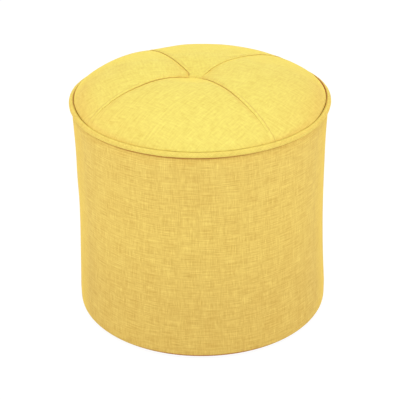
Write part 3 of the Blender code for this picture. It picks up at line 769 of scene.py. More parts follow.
def sleeve_line():
    """The sleeve's profile (radius, height): top allowance, fold, side, hem corner and hem."""
    fold_top = SEAM_HEIGHT - ALLOWANCE_FACE
    fold_centre = (RIM_RADIUS - FOLD_DRAW - FOLD_RADIUS, fold_top - FOLD_RADIUS)
    fold = arc_places(FOLD_RADIUS, math.pi / 2, 0, FOLD_ROWS, fold_centre)
    neck = np.linspace(NECK_HEIGHT, NECK_HEIGHT - NECK_BAND, 19)
    height = np.concatenate([neck, np.linspace(neck[-1], HEM_BOTTOM + HEM_CORNER_RADIUS, 120)[1:]])
    side = np.stack([WRAP_INNER + STAND_OFF + wrap_thickness(height), height], 1)
    corner_centre = (FOOT_RADIUS - HEM_CORNER_RADIUS, HEM_BOTTOM + HEM_CORNER_RADIUS)
    corner = arc_places(HEM_CORNER_RADIUS, 0, -math.pi / 2, 12, corner_centre)
    start = resample(np.array([[ALLOWANCE_INNER, fold_top], fold[0]]), FLAT_SPACING)
    end = resample(np.array([corner[-1], [FOOT_RADIUS - HEM_DEPTH, HEM_BOTTOM]]), FLAT_SPACING)
    return np.vstack([start, fold[1:], side, corner[1:], end[1:]])


def sleeve_painted_shade(radius, height, azimuth, in_seam):
    """The sleeve's painted shade: a painted shadow under the piping, most at the front, painted
    shade at the hem's round corner and in its seam."""
    front = smooth_step((-np.sin(azimuth) - 0.15) / 0.5)
    front = (front * (1 - 0.8 * smooth_step(np.cos(azimuth) / 0.6)))[None]
    # Painted shadow under the piping
    under_piping = smooth_step((height - NECK_HEIGHT + 0.0032) / 0.0014) * (0.18 + 0.66 * front)
    # Painted shade on the hem's round corner, strongest at the front
    hem_front = smooth_step((-np.sin(azimuth) - 0.80) / 0.18)[None]
    round_corner = smooth_step((HEM_BOTTOM + 0.0047 - height) / 0.0017) * (0.2 + 0.8 * hem_front)
    round_corner = round_corner * smooth_step((radius - FOOT_RADIUS + 0.0065) / 0.0030)
    return np.maximum(np.maximum(under_piping, round_corner), in_seam)


def make_side_panel():
    """The sleeve: the profile carried round, with its two edges turned in at the back seam."""
    line = sleeve_line()
    radius, height = line[:, :1], line[:, 1:]
    turn = np.linspace(0, math.tau, RING_COLUMNS + 1)
    seam = SEAM_GAP / 2 / NECK_RADIUS
    run = turn * NECK_RADIUS
    apart = np.minimum(run, run[-1] - run)
    azimuth = SLEEVE_SEAM_AZIMUTH + seam + (math.tau - 2 * seam) * turn / math.tau
    on_side = smooth_step((height - HEM_BOTTOM) / 0.01)
    on_side = on_side * smooth_step((NECK_HEIGHT - height) / 0.012)
    hem_wave = uneven(azimuth, HEM_WAVE, 1) * np.exp(-(height - HEM_BOTTOM) / 0.03)
    gather = uneven(azimuth, NECK_GATHER, 2) * np.exp(-(NECK_HEIGHT - height) / 0.010)
    drift = uneven(azimuth + height * 3, SIDE_DRIFT, 3)
    edge = -SLEEVE_SEAM_DEPTH * bell(apart, SLEEVE_SEAM_WIDTH)[None]
    lift = on_side * (hem_wave + gather + drift + edge)
    points = settle(ring_points(radius + lift, height, azimuth[None]))
    cloth = np.stack(np.broadcast_arrays(run[None], -path_length(line)[:, None]), -1)
    # Painted shade in the sleeve's seam, under the piping and at the hem
    in_seam = SLEEVE_SEAM_SHADE * bell(apart, SEAM_SHADE_WIDTH)[None] * on_side
    painted_shade_mask = sleeve_painted_shade(radius, height, azimuth, in_seam)
    sleeve = grid_piece("side_panel_cloth", points, cloth, painted_shade_mask, flip=True)
    add_thickness(sleeve, FABRIC_THICKNESS)
    return sleeve


# Piping


def piping_section():
    """The bias strip's section (radius, height): round the cord and back along both plies."""
    inner_radius = PIPING_RADIUS - FABRIC_THICKNESS
    centre = (PIPING_CENTRE, SEAM_HEIGHT)
    outer_end = math.pi - math.asin(PLY_OUTER / PIPING_RADIUS)
    inner_end = math.pi - math.asin(SEAM_GAP / 2 / inner_radius)
    outer = arc_places(PIPING_RADIUS, outer_end, -outer_end, PIPING_OUTER_STEPS, centre)
    inner = arc_places(inner_radius, -inner_end, inner_end, PIPING_INNER_STEPS, centre)
    ends = SEAM_HEIGHT + np.array([-PLY_OUTER, -SEAM_GAP / 2, SEAM_GAP / 2, PLY_OUTER])
    flange = np.stack([np.full(4, ALLOWANCE_INNER), ends], 1)
    return np.vstack([outer, flange[:2], inner, flange[2:]])


def make_piping_cover():
    """The piping: its section carried round, with small ripples where the bias strip bends."""
    section = piping_section()
    azimuth = azimuths_from_seam(PIPING_COLUMNS)
    offset = section - np.array([PIPING_CENTRE, SEAM_HEIGHT])
    outside = (np.arange(len(section)) <= PIPING_OUTER_STEPS)[:, None]
    angle = np.arctan2(offset[:, 1], offset[:, 0])[:, None]
    height, count = PIPING_TWILL
    ripple = height * np.cos(count * azimuth + 2.0 * angle + 2 * np.sin(7 * azimuth))
    ripple = ripple + uneven(azimuth, PIPING_RIPPLE, 4)
    swell = 1 + outside * ripple / PIPING_RADIUS * smooth_step((math.pi * 0.85 - abs(angle)) / 0.5)
    radius = PIPING_CENTRE + offset[:, :1] * swell
    height = SEAM_HEIGHT + offset[:, 1:] * swell
    points = settle(ring_points(radius, height, azimuth[None]))
    long = path_length(np.vstack([section, section[:1]]))[:, None]
    run = (np.linspace(0, math.tau, PIPING_COLUMNS + 1) * PIPING_CENTRE)[None]
    cloth = math.sqrt(0.5) * np.stack([run + long, run - long], -1)
    # Painted shade on the piping's inner side, next to the panels above and the sleeve below
    dark = rim_painted_shade(azimuth)[None]
    behind = smooth_step(np.sin(azimuth) / 0.4) * smooth_step(np.cos(azimuth) / 0.4)
    begins, deepens = PIPING_PAINTED_SHADE
    begins = begins - deepens * (dark + behind) * (angle > 0)
    strength = np.where(angle > 0, 0.82 * dark, 0.85)
    painted_shade_mask = strength * outside * smooth_step((abs(angle) - begins) / deepens)
    return grid_piece("piping_cloth", points, cloth, painted_shade_mask, wrap=(True, True), flip=True)


def make_piping_cord():
    """Three-strand filler cord: section radius R (0.91 + 0.09 cos(3 a - 96 azimuth)) at angle a
    round the section, carried round."""
    section = np.linspace(0, math.tau, CORD_SIDES, endpoint=False)[:, None]
    azimuth = azimuths_from_seam(CORD_COLUMNS)
    thick = PIPING_CORD_RADIUS * (0.91 + 0.09 * np.cos(3 * section - 96 * azimuth))
    radius = PIPING_CENTRE + thick * np.cos(section)
    height = SEAM_HEIGHT + thick * np.sin(section)
    points = settle(ring_points(radius, height, azimuth[None]))
    return grid_piece("piping_cord_strands", points, wrap=(True, True))


# Padding


def make_seat_wadding():
    """The wadding: its upper face follows the panels' underside and sinks under their seams, its
    lower face follows the foam."""
    share = crown_shares(70)
    radius = RIM_RADIUS - WADDING_RIM_INSET * share**CROWN_POWER
    share_column = share[:, None]
    upper = []
    for side in PANELS:
        base, _, apart, _ = crown_base(side, share, radius, WADDING_DROP, WADDING_SEAM_SHARE)
        room = WADDING_SEAM_SINK * np.exp(-((apart / WADDING_SEAM_SPREAD) ** 4))
        room = room * smooth_step(share_column / 0.08) * (1 - share_column**20) + WADDING_EASE
        base[..., 2] -= room
        upper.append(base[:, :-1])
    upper = np.concatenate(upper, axis=1)
    inner_share = crown_shares(34)[::-1]
    rim = unit(upper[-1, :, :2]) * (SEAT_FOAM_RADIUS + CLEARANCE)
    plan = TUFT + (rim[None] - TUFT) * inner_share[:, None, None]
    height = (foam_height(inner_share) + CLEARANCE)[:, None]
    lower = np.dstack([plan, np.broadcast_to(height, plan.shape[:2])])
    points = settle(np.vstack([upper, lower]))
    return grid_piece("seat_wadding_pad", points, wrap=(True, True), flip=True)


def make_seat_foam():
    """The foam pad: a flat bottom, an upright side and a dome, with the twine's hole."""
    bottom = DRUM_TOP + CLEARANCE
    dome_share = crown_shares(60)
    side_height = np.linspace(FOAM_EDGE_HEIGHT, bottom, 8)[1:]
    flat_share = crown_shares(16)[::-1][1:]
    share = np.concatenate([dome_share, np.ones_like(side_height), flat_share])[:, None]
    flat_height = np.full_like(flat_share, bottom)
    height = np.concatenate([foam_height(dome_share), side_height, flat_height])
    azimuth = np.linspace(0, math.tau, PAD_COLUMNS, endpoint=False)
    plan = plan_points(share, SEAT_FOAM_RADIUS, azimuth)
    points = np.dstack([plan, np.broadcast_to(height[:, None], plan.shape[:2])])
    above_board = smooth_step((points[..., 2:] - bottom) / (FOAM_EDGE_HEIGHT - bottom))
    points = settled_by(points, above_board)
    return grid_piece("seat_foam_pad", points, wrap=(True, True), flip=True)


def make_side_foam():
    """The foam wrap: the sleeve's inner outline outside and the drum's wall inside."""
    top = SEAM_HEIGHT - ALLOWANCE_BACK - CLEARANCE
    corner = HEM_CORNER_RADIUS - STAND_OFF
    height = np.linspace(NECK_HEIGHT, BOARD_BOTTOM + corner, 90)
    side = np.stack([WRAP_INNER + wrap_thickness(height), height], 1)
    foot = WRAP_INNER + WRAP_AT_FOOT
    turned_in = arc_places(corner, 0, -math.pi / 2, 5, (foot - corner, BOARD_BOTTOM + corner))
    head = [[WRAP_INNER, top], [RIM_RADIUS - FOLD_RADIUS - STAND_OFF, top]]
    end = np.stack([np.full(40, WRAP_INNER), np.linspace(BOARD_BOTTOM, top, 41)[:-1]], 1)
    line = np.vstack([head, side, turned_in[1:], end])
    points = ring_points(line[:, :1], line[:, 1:], azimuths_from_seam(PAD_COLUMNS)[None])
    outside = np.clip((line[:, :1] - WRAP_INNER) / 0.003, 0, 1)[..., None]
    points = settled_by(points, outside)
    return grid_piece("side_foam_wrap", points, wrap=(True, True), flip=True)


# Small repeated pieces


def copies(name, template, faces, places, axes):
    """One piece from many copies of a small shape: each copy is template @ its axes + its place."""
    points = np.einsum("vi,nij->nvj", template, axes) + places[:, None]
    numbers = faces[None] + (np.arange(len(places)) * len(template))[:, None, None]
    return solid_from(name, points.reshape(-1, 3), numbers.reshape(-1, faces.shape[1]))


def cap_faces(ring):
    """Quads that close a ring of an even number of points."""
    return [[ring[0], ring[k], ring[k + 1], ring[k + 2]] for k in range(1, len(ring) - 2, 2)]


def capsule(length, radius, rings=4, sides=6):
    """A stitch along x: rings whose radius follows a half ellipse, closed by small end rings."""
    t = np.linspace(-1, 1, rings + 2)[:, None]
    thick = radius * np.sqrt(np.clip(1 - 0.94 * t**4, 0, 1))
    angle = np.linspace(0, math.tau, sides, endpoint=False)
    y = thick * np.cos(angle)
    z = thick * np.sin(angle) - 0.45 * radius * t**2
    points = np.stack(np.broadcast_arrays(t * length / 2, y, z), -1).reshape(-1, 3)
    faces = grid_faces(rings + 2, sides, False, True, False)[0]
    first = np.arange(sides)
    last = first[::-1] + (rings + 1) * sides
    return points, np.vstack([faces, cap_faces(first), cap_faces(last)])


def smoothed(line, reach):
    """A line whose every point is the mean of those up to a reach before and after it."""
    window = np.ones(2 * reach + 1) / (2 * reach + 1)
    return np.stack([np.convolve(np.pad(v, reach, "edge"), window, "valid") for v in line.T], 1)


def seam_stitch_frames(name):
    """Places and axes of the topstitches along a seam: on the panel that lies over, at the stitch
    line, one to each pitch, with x along the seam and z off the surface."""
    side = next(s for s, p in PANELS.items() if (p[0] == name and p[2]) or (p[1] == name and p[3]))
    share = np.linspace(*STITCH_SHARES, 500)
    base, across, _, _ = crown_base(side, share, np.full_like(share, RIM_RADIUS), 0)
    width = across[:, -1]
    distance = across if PANELS[side][0] == name else width[:, None] - across
    target = np.minimum(STITCH_LINE, 0.3 * width)
    column = np.abs(distance - target[:, None]).argmin(1)
    row = np.arange(len(share))
    line = smoothed(base[row, column], 9)
    along = path_length(line)
    at = np.arange(STITCH_END_GAP, along[-1] - STITCH_END_GAP, STITCH_PITCH)
    place = read_at(at, along, line)
    up = unit(read_at(at, along, surface_normals(base)[row, column]))
    ahead = np.gradient(place, axis=0)
    ahead = unit(ahead - (ahead * up).sum(1, keepdims=True) * up)
    wide_enough = smooth_step(np.interp(at, along, width) / FULL_WIDTH)
    lift = (RIDGE_HEIGHT - STITCH_SINK + STITCH_LIFT) * wide_enough
    return settle(place + up * lift[:, None]), np.stack([ahead, np.cross(up, ahead), up], 1)


def make_top_stitches():
    """The topstitching beside all four seams, as one piece."""
    places, axes = zip(*(seam_stitch_frames(name) for name in SEAM_AZIMUTHS))
    template, faces = capsule(STITCH_LENGTH, STITCH_RADIUS)
    return copies("top_stitches", template, faces, np.concatenate(places), np.concatenate(axes))


def tube(points, radius, sides=8):
    """Points and quads of a tube about a path: rings square to it, and ends that close to a
    point."""
    count = len(points)
    taper = np.ones(count)
    taper[[0, -1]] = 0.02
    ahead = unit(np.gradient(points, axis=0))
    aside = unit(np.cross(ahead, np.array([0.31, 0.17, 0.93])))
    angle = np.linspace(0, math.tau, sides, endpoint=False)[:, None, None]
    circle = np.cos(angle) * aside + np.sin(angle) * np.cross(ahead, aside)
    grid = points[None] + circle * (radius * taper)[None, :, None]
    faces = grid_faces(sides, count, True, False, True)[0]
    first = np.arange(sides) * count
    last = first[::-1] + count - 1
    return grid.reshape(-1, 3), np.vstack([faces, cap_faces(first[::-1]), cap_faces(last[::-1])])


def join_arrays(parts):
    """Several (points, faces) as one pair."""
    start = np.cumsum([0] + [len(points) for points, _ in parts[:-1]])
    points = np.concatenate([points for points, _ in parts])
    faces = np.concatenate([faces + first for first, (_, faces) in zip(start, parts)])
    return points, faces


def about_tuft(reach, azimuth, height):
    """Points at a reach and azimuth from the tuft's axis."""
    x, y = TUFT[0] + reach * np.cos(azimuth), TUFT[1] + reach * np.sin(azimuth)
    return np.stack([x, y, height], 1)


def make_tuft_twine():
    """The tuft's twine: two twisted strands up through the seat, a cross stitch in the dimple and
    a knot under the toggle."""
    surface = float(dome_height(np.array(HOLE_SHARE)))
    knot_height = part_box("tuft_toggle")[0].z - CLEARANCE - 2 * KNOT_HEIGHT
    height = knot_height + (surface - CROSS_SINK - knot_height) * np.linspace(0, 1, 420)
    parts = []
    for phase in (0, math.pi):
        turn = math.tau * (height - knot_height) / STRAND_PITCH + phase
        parts.append(tube(about_tuft(STRAND_APART, turn, height), STRAND_RADIUS))
    for number, azimuth in enumerate(np.radians([52, 142])):
        s = np.linspace(-1, 1, 25)
        rise = -CROSS_SINK + CROSS_STEP * number + CROSS_BEND * s**2
        parts.append(tube(about_tuft(CROSS_REACH * s, azimuth, surface + rise), CROSS_RADIUS))
    k = np.linspace(0, math.tau, 73)
    swing = KNOT_REACH * (2 + np.cos(3 * k)) / 2
    knot = about_tuft(swing, 2 * k, knot_height + KNOT_HEIGHT * np.sin(3 * k))
    parts.append(tube(knot, CROSS_RADIUS))
    return solid_from("tuft_twine_stitch", *join_arrays(parts))


# Underside


def make_bottom_cloth():
    """The cloth over the underside, its edge turned under all round and puckered by the staples."""
    flat = np.linspace(0.0004, BOTTOM_EDGE - 0.0006, BOTTOM_RINGS)
    turned_in = BOTTOM_EDGE - np.array([0, 0, 0.0006, BOTTOM_TURN_UNDER])
    radius = np.concatenate([flat, turned_in])[:, None]
    turned_up = [BOTTOM_THICKNESS * 0.4, BOTTOM_THICKNESS * 1.9, BOTTOM_TURNED_UP, BOTTOM_TURNED_UP]
    height = CLOTH_BOTTOM + np.concatenate([np.zeros(BOTTOM_RINGS), turned_up])[:, None]
    azimuth = math.tau * np.arange(BOTTOM_COLUMNS) / BOTTOM_COLUMNS
    wrinkle = BOTTOM_WRINKLE * (1 + waves(azimuth, (STAPLE_COUNT, 2 * STAPLE_COUNT, 31), 5))
    wrinkle = wrinkle * smooth_step((radius - 0.10) / 0.06)
    drawn = STAPLE_DRAW * (1 + np.cos(STAPLE_COUNT * azimuth)) / 2
    drawn = drawn * bell(radius - BOTTOM_EDGE, 0.01)
    points = ring_points(radius - drawn, height, azimuth[None])
    on_flat = np.arange(len(radius))[:, None] < BOTTOM_RINGS
    points[..., 2] += wrinkle * on_flat * smooth_step((BOTTOM_EDGE - radius) / 0.02)
    rings = grid_faces(*points.shape[:2], False, True, False)[0]
    middle = cap_faces(np.arange(BOTTOM_COLUMNS)[::-1])
    cloth = solid_from("bottom_cloth_sheet", points.reshape(-1, 3), np.vstack([rings, middle]))
    add_thickness(cloth, BOTTOM_THICKNESS)
    return cloth


def staple_shape():
    """A staple: a flat crown along x with two legs up along z, as a strip with square section."""
    half, leg, wire, bend = STAPLE_WIDTH / 2, STAPLE_LEG, STAPLE_WIRE, STAPLE_BEND
    left = [[-half, leg], [-half, bend], [-half + bend, 0]]
    right = [[half - bend, 0], [half, bend], [half, leg]]
    outer = np.array(left + right)
    inner = outer + np.array(
        [[wire, 0], [wire, 0], [bend / 2, wire], [-bend / 2, wire], [-wire, 0], [-wire, 0]]
    )
    edges = ((outer, -wire / 2), (inner, -wire / 2), (inner, wire / 2), (outer, wire / 2))
    points = [np.stack([line[:, 0], np.full(6, y), line[:, 1]], 1) for line, y in edges]
    faces = grid_faces(4, 6, True, False, False)[0]
    caps = np.array([[0, 6, 12, 18], [23, 17, 11, 5]])
    return np.concatenate(points), np.vstack([faces, caps])


def make_staples():
    """Staples through the cloth's edge, all round, each with a slight random turn."""
    random = np.random.default_rng(7)
    count = STAPLE_COUNT
    azimuth = math.tau * (np.arange(count) + 0.5) / count + random.uniform(-0.01, 0.01, count)
    turn = azimuth + math.pi / 2 + random.uniform(-0.12, 0.12, count)
    radius = BOTTOM_EDGE - STAPLE_INSET + random.uniform(-0.0006, 0.0006, count)
    places = ring_points(radius, CLOTH_BOTTOM - STAPLE_DROP, azimuth)
    along = ring_points(1, 0, turn)
    up = np.broadcast_to([0.0, 0.0, 1.0], along.shape)
    axes = np.stack([along, np.cross(up, along), up], 1)
    return copies("cloth_staples", *staple_shape(), places, axes)


# Shader helpers

VECTOR, FLOAT, COLOUR = "NodeSocketVector", "NodeSocketFloat", "NodeSocketColor"


def feed(tree, node, inputs):
    """Links a node's inputs where a socket is given, and sets them otherwise."""
    for key, value in inputs.items():
        if isinstance(value, bpy.types.NodeSocket):
            tree.links.new(value, node.inputs[key])
        else:
            node.inputs[key].default_value = value
    return node


def add_node(tree, kind, settings=None, inputs=None):
    """A node with its settings and its inputs."""
    made = tree.nodes.new(kind)
    for key, value in (settings or {}).items():
        setattr(made, key, value)
    return feed(tree, made, inputs or {})


def calc(tree, operation, first, second=0.0, clamp=False):
    """The output of a Math node."""
    settings = {"operation": operation, "use_clamp": clamp}
    return add_node(tree, "ShaderNodeMath", settings, {0: first, 1: second}).outputs[0]


def times(tree, first, second):
    """Two values multiplied."""
    return calc(tree, "MULTIPLY", first, second)


def plus(tree, first, second):
    """Two values added."""
    return calc(tree, "ADD", first, second)


def remap(tree, value, from_low, from_high, to_low=0.0, to_high=1.0):
    """A value moved from one range to another, and clamped."""
    inputs = {0: value, 1: from_low, 2: from_high, 3: to_low, 4: to_high}
    return add_node(tree, "ShaderNodeMapRange", {"clamp": True}, inputs).outputs[0]


def noise(tree, place, scale, detail=2.0, rough=0.5):
    """A noise value from 0 to 1."""
    inputs = {"Vector": place, "Scale": scale, "Detail": detail, "Roughness": rough}
    return add_node(tree, "ShaderNodeTexNoise", None, inputs).outputs[0]


def calc_vector(tree, operation, first, second):
    """The vector from a Vector Math node."""
    settings = {"operation": operation}
    return add_node(tree, "ShaderNodeVectorMath", settings, {0: first, 1: second}).outputs[0]


def vector_of(tree, x, y, z):
    """A vector from its three axes."""
    return add_node(tree, "ShaderNodeCombineXYZ", None, {0: x, 1: y, 2: z}).outputs[0]


def axis_of(tree, vector, axis):
    """One axis of a vector, from 0 to 2."""
    return add_node(tree, "ShaderNodeSeparateXYZ", None, {0: vector}).outputs[axis]


def object_place(tree):
    """Places in the object's own coordinates."""
    return add_node(tree, "ShaderNodeTexCoord").outputs["Object"]


def surface_direction(tree):
    """The surface's normal."""
    return add_node(tree, "ShaderNodeNewGeometry").outputs["Normal"]


def mix_colour(tree, share, first, second, blend="MIX"):
    """Two colours mixed by a share."""
    settings = {"data_type": "RGBA", "blend_type": blend}
    inputs = {0: share, 6: first, 7: second}
    return add_node(tree, "ShaderNodeMix", settings, inputs).outputs[2]


def new_group(name, inputs, outputs):
    """A shader group with named inputs (name, kind, default) and outputs (name, kind)."""
    group = bpy.data.node_groups.new(name, "ShaderNodeTree")
    for label, kind, default in inputs:
        socket = group.interface.new_socket(label, in_out="INPUT", socket_type=kind)
        if default is not None:
            socket.default_value = default
    for label, kind in outputs:
        group.interface.new_socket(label, in_out="OUTPUT", socket_type=kind)
    return group, group.nodes.new("NodeGroupInput").outputs, group.nodes.new("NodeGroupOutput")


def use_group(tree, group, inputs):
    """The outputs of a group placed in a material with its own values."""
    return add_node(tree, "ShaderNodeGroup", {"node_tree": group}, inputs).outputs


def slub_weave_group():
    """A plain weave of uneven yarns: long slubs along both yarns, patches where one direction
    shows more, and the small over and under of the threads."""
    group, given, sink = new_group(
        "slub_weave",
        [
            ("Place", VECTOR, None),
            ("Dark", COLOUR, (0.7, 0.5, 0.1, 1)),
            ("Light", COLOUR, (0.9, 0.7, 0.2, 1)),
            ("Contrast", FLOAT, 1.0),
            ("Weft Share", FLOAT, 0.5),
            ("Slub Length", FLOAT, 1.0),
            ("Pitch", FLOAT, YARN_PITCH),
            ("Seed", FLOAT, 0.0),
        ],
        [("Colour", COLOUR), ("Height", FLOAT), ("Slub", FLOAT)],
    )
    place = calc_vector(group, "ADD", given["Place"], vector_of(group, 0.0, 0.0, given["Seed"]))
    across, along_warp, along_weft = SLUB_RATES
    warp_rate = calc(group, "DIVIDE", along_warp, given["Slub Length"])
    weft_rate = calc(group, "DIVIDE", along_weft, given["Slub Length"])
    yarns = []
    for scale in ((across, warp_rate, 1.0), (weft_rate, across, 1.0)):
        stretched = calc_vector(group, "MULTIPLY", place, vector_of(group, *scale))
        yarns.append(noise(group, stretched, 1.0, 2.0, 0.7))
    band = noise(group, calc_vector(group, "MULTIPLY", place, BAND_RATES), 1.0, 1.0)
    patch = plus(group, noise(group, place, 95.0, 1.0), given["Weft Share"])
    patch = remap(group, patch, 0.86, 1.14, 0.32, 0.68)
    inputs = {0: patch, 2: yarns[0], 3: yarns[1]}
    streak = add_node(group, "ShaderNodeMix", {"data_type": "FLOAT"}, inputs).outputs[0]
    streak = plus(group, streak, times(group, calc(group, "SUBTRACT", band, 0.5), 0.12))
    broad = calc(group, "SUBTRACT", noise(group, place, 30.0, 1.0), 0.5)
    streak = plus(group, streak, times(group, broad, 0.10))
    turn = calc(group, "DIVIDE", math.pi, given["Pitch"])
    wave_x, wave_y = (
        calc(group, "SINE", times(group, axis_of(group, place, axis), turn)) for axis in (0, 1)
    )
    weave = times(group, wave_x, wave_y)
    strength = times(group, calc(group, "SUBTRACT", streak, 0.5), given["Contrast"])
    tone = calc(group, "ADD", plus(group, strength, 0.5), times(group, weave, 0.05), clamp=True)
    feed(group, sink, {
        "Colour": mix_colour(group, tone, given["Dark"], given["Light"]),
        "Height": plus(group, times(group, weave, 0.35), times(group, streak, 1.4)),
        "Slub": streak,
    })
    return group


def painted_shade_group():
    """Paints shade into a colour: mixes it towards a shade colour by a mask times a strength."""
    group, given, sink = new_group(
        "crease_shade",
        [
            ("Colour", COLOUR, (1, 1, 1, 1)),
            ("Mask", FLOAT, 0.0),
            ("Shade", COLOUR, (0.3, 0.2, 0.1, 1)),
            ("Strength", FLOAT, 1.0),
        ],
        [("Colour", COLOUR)],
    )
    share = calc(group, "MULTIPLY", given["Mask"], given["Strength"], clamp=True)
    feed(group, sink, {"Colour": mix_colour(group, share, given["Colour"], given["Shade"])})
    return group


def shade_tint_group():
    """Paints shade into a cover colour: a little deeper where the cloth turns to the sides of the
    crown, and darker towards the floor."""
    group, given, sink = new_group(
        "painted_side_and_low_shade",
        [("Colour", COLOUR, (1, 1, 1, 1)), ("Aside", FLOAT, 0.0), ("Height", FLOAT, 0.0)],
        [("Colour", COLOUR)],
    )
    aside = times(group, given["Aside"], given["Aside"])
    on_crown = remap(group, given["Height"], 0.350, 0.358)
    share = times(group, remap(group, aside, 0.0, 0.30), on_crown)
    colour = mix_colour(group, share, given["Colour"], ASIDE_SHADE_TINT, "MULTIPLY")
    low = remap(group, given["Height"], 0.20, 0.08)
    feed(group, sink, {"Colour": mix_colour(group, low, colour, LOW_SHADE_TINT, "MULTIPLY")})
    return group


def fibre_group():
    """Loose fibres or open cells: two sizes of noise, as a tone and a height."""
    group, given, sink = new_group(
        "fibre_noise",
        [
            ("Place", VECTOR, None),
            ("Fine", FLOAT, 900.0),
            ("Coarse", FLOAT, 120.0),
            ("Dark", COLOUR, (0.6, 0.6, 0.6, 1)),
            ("Light", COLOUR, (0.9, 0.9, 0.9, 1)),
        ],
        [("Colour", COLOUR), ("Height", FLOAT)],
    )
    fine = noise(group, given["Place"], given["Fine"], 3.0)
    coarse = noise(group, given["Place"], given["Coarse"], 2.0)
    both = plus(group, times(group, fine, 0.5), times(group, coarse, 0.5))
    tone = remap(group, both, 0.35, 0.65)
    colour = mix_colour(group, tone, given["Dark"], given["Light"])
    feed(group, sink, {"Colour": colour, "Height": both})
    return group


def wood_group():
    """Wood grain: long streaks with finer pores, stretched along the grain axis."""
    group, given, sink = new_group(
        "wood_grain",
        [
            ("Place", VECTOR, None),
            ("Stretch", VECTOR, (90.0, 90.0, 4.0)),
            ("Dark", COLOUR, (0.4, 0.3, 0.2, 1)),
            ("Light", COLOUR, (0.7, 0.5, 0.3, 1)),
        ],
        [("Colour", COLOUR), ("Height", FLOAT)],
    )
    long = calc_vector(group, "MULTIPLY", given["Place"], given["Stretch"])
    streak = noise(group, long, 1.0, 5.0, 0.6)
    pore = noise(group, long, 6.0, 2.0, 0.5)
    both = plus(group, times(group, streak, 0.75), times(group, pore, 0.25))
    tone = remap(group, both, 0.33, 0.67)
    colour = mix_colour(group, tone, given["Dark"], given["Light"])
    feed(group, sink, {"Colour": colour, "Height": both})
    return group


SLUB_WEAVE = slub_weave_group()
CREASE_SHADE = painted_shade_group()
PAINTED_SHADE_TINT = shade_tint_group()
FIBRE_NOISE = fibre_group()
WOOD_GRAIN = wood_group()


# Materials


def new_material(name):
    """A material, the tree that holds its shader, and its Principled BSDF."""
    made = bpy.data.materials.new(name)
    made.use_nodes = True
    return made, made.node_tree, made.node_tree.nodes["Principled BSDF"]


def bumped(tree, height, strength, distance):
    """The normal from a Bump node over a height."""
    inputs = {"Height": height, "Strength": strength, "Distance": distance}
    return add_node(tree, "ShaderNodeBump", None, inputs).outputs[0]


def cover_fabric(name, dark, light, contrast, weft, seed, coarse=1.0, long=1.0):
    """The yellow slubby cover cloth, on the piece's own cloth map. Its slubs are coarse times as
    large and long times as drawn out, and its yarns stay as fine."""
    made, tree, shader = new_material(name)
    place = add_node(tree, "ShaderNodeUVMap", {"uv_map": "cloth"}).outputs[0]
    weave = use_group(tree, SLUB_WEAVE, {
        "Place": calc_vector(tree, "MULTIPLY", place, (1 / coarse, 1 / coarse, 1)),
        "Dark": (*dark, 1), "Light": (*light, 1), "Contrast": contrast, "Weft Share": weft,
        "Slub Length": long, "Pitch": YARN_PITCH / coarse, "Seed": seed,
    })
    # Painted shade on the crown's sides and towards the floor
    shade_tinted = use_group(tree, PAINTED_SHADE_TINT, {
        "Colour": weave["Colour"], "Aside": axis_of(tree, surface_direction(tree), 0),
        "Height": axis_of(tree, object_place(tree), 2),
    })
    # Painted shade from the mesh's mask: folds, seams, under the piping and the hem's corner
    mask = add_node(tree, "ShaderNodeAttribute", {"attribute_name": "painted_shade_mask"}).outputs["Fac"]
    shade_painted = use_group(tree, CREASE_SHADE, {
        "Colour": shade_tinted["Colour"], "Mask": mask, "Shade": PAINTED_SHADE_COLOUR, "Strength": 0.9,
    })
    # Where the painted shade is deepest, the sheen and the painted rim light fall away
    lit = remap(tree, mask, 0.86, 1.0, 1.0, 0.0)
    # Painted rim light: the colour lightens towards a light yarn colour where the cloth is seen
    # edge on
    grazing = add_node(tree, "ShaderNodeLayerWeight", None, {"Blend": 0.5}).outputs["Facing"]
    edge_light = times(tree, remap(tree, grazing, 0.68, 0.88, 0.0, EDGE_PAINTED_LIGHT), lit)
    feed(tree, shader, {
        "Base Color": mix_colour(tree, edge_light, shade_painted["Colour"], (1, light[1], 0.6 * light[2], 1)),
        "Roughness": remap(tree, weave["Slub"], 0.3, 0.7, 0.92, 0.78),
        "Specular IOR Level": 0.15,
        "Sheen Weight": times(tree, lit, 0.6),
        "Sheen Roughness": 0.3,
        "Sheen Tint": SHEEN_TINT,
        "Normal": bumped(tree, weave["Height"], 0.5, 0.0006),
    })
    return made


def fibre_material(name, dark, light, fine, coarse, bump, others):
    """Loose fibres or open cells on Object coordinates."""
    made, tree, shader = new_material(name)
    fibre = use_group(tree, FIBRE_NOISE, {
        "Place": object_place(tree), "Fine": fine, "Coarse": coarse,
        "Dark": (*dark, 1), "Light": (*light, 1),
    })
    normal = bumped(tree, fibre["Height"], *bump)
    feed(tree, shader, {"Base Color": fibre["Colour"], "Normal": normal, **others})
    return made


def pad_material(name, dark, light, fine, coarse, strength):
    """Wadding, foam or felt: rough, with hardly any shine."""
    others = {"Roughness": 0.95, "Specular IOR Level": 0.2}
    return fibre_material(name, dark, light, fine, coarse, (strength, 0.001), others)


def thread_material(name, dark, light):
    """Thread, twine or cord: rough, with fine fibres and a little sheen."""
    others = {"Roughness": 0.75, "Sheen Weight": 0.2}
    return fibre_material(name, dark, light, 2600.0, 900.0, (0.4, 0.0003), others)


def wood_material(name, dark, light, stretch, roughness, strength=0.25):
    """Board or timber on Object coordinates, with its grain along the least stretched axis."""
    made, tree, shader = new_material(name)
    grain = use_group(tree, WOOD_GRAIN, {
        "Place": object_place(tree), "Stretch": stretch, "Dark": (*dark, 1), "Light": (*light, 1),
    })
    dull = remap(tree, grain["Height"], 0.3, 0.7, roughness + 0.08, roughness - 0.08)
    normal = bumped(tree, grain["Height"], strength, 0.0005)
    feed(tree, shader, {"Base Color": grain["Colour"], "Roughness": dull, "Normal": normal})
    return made


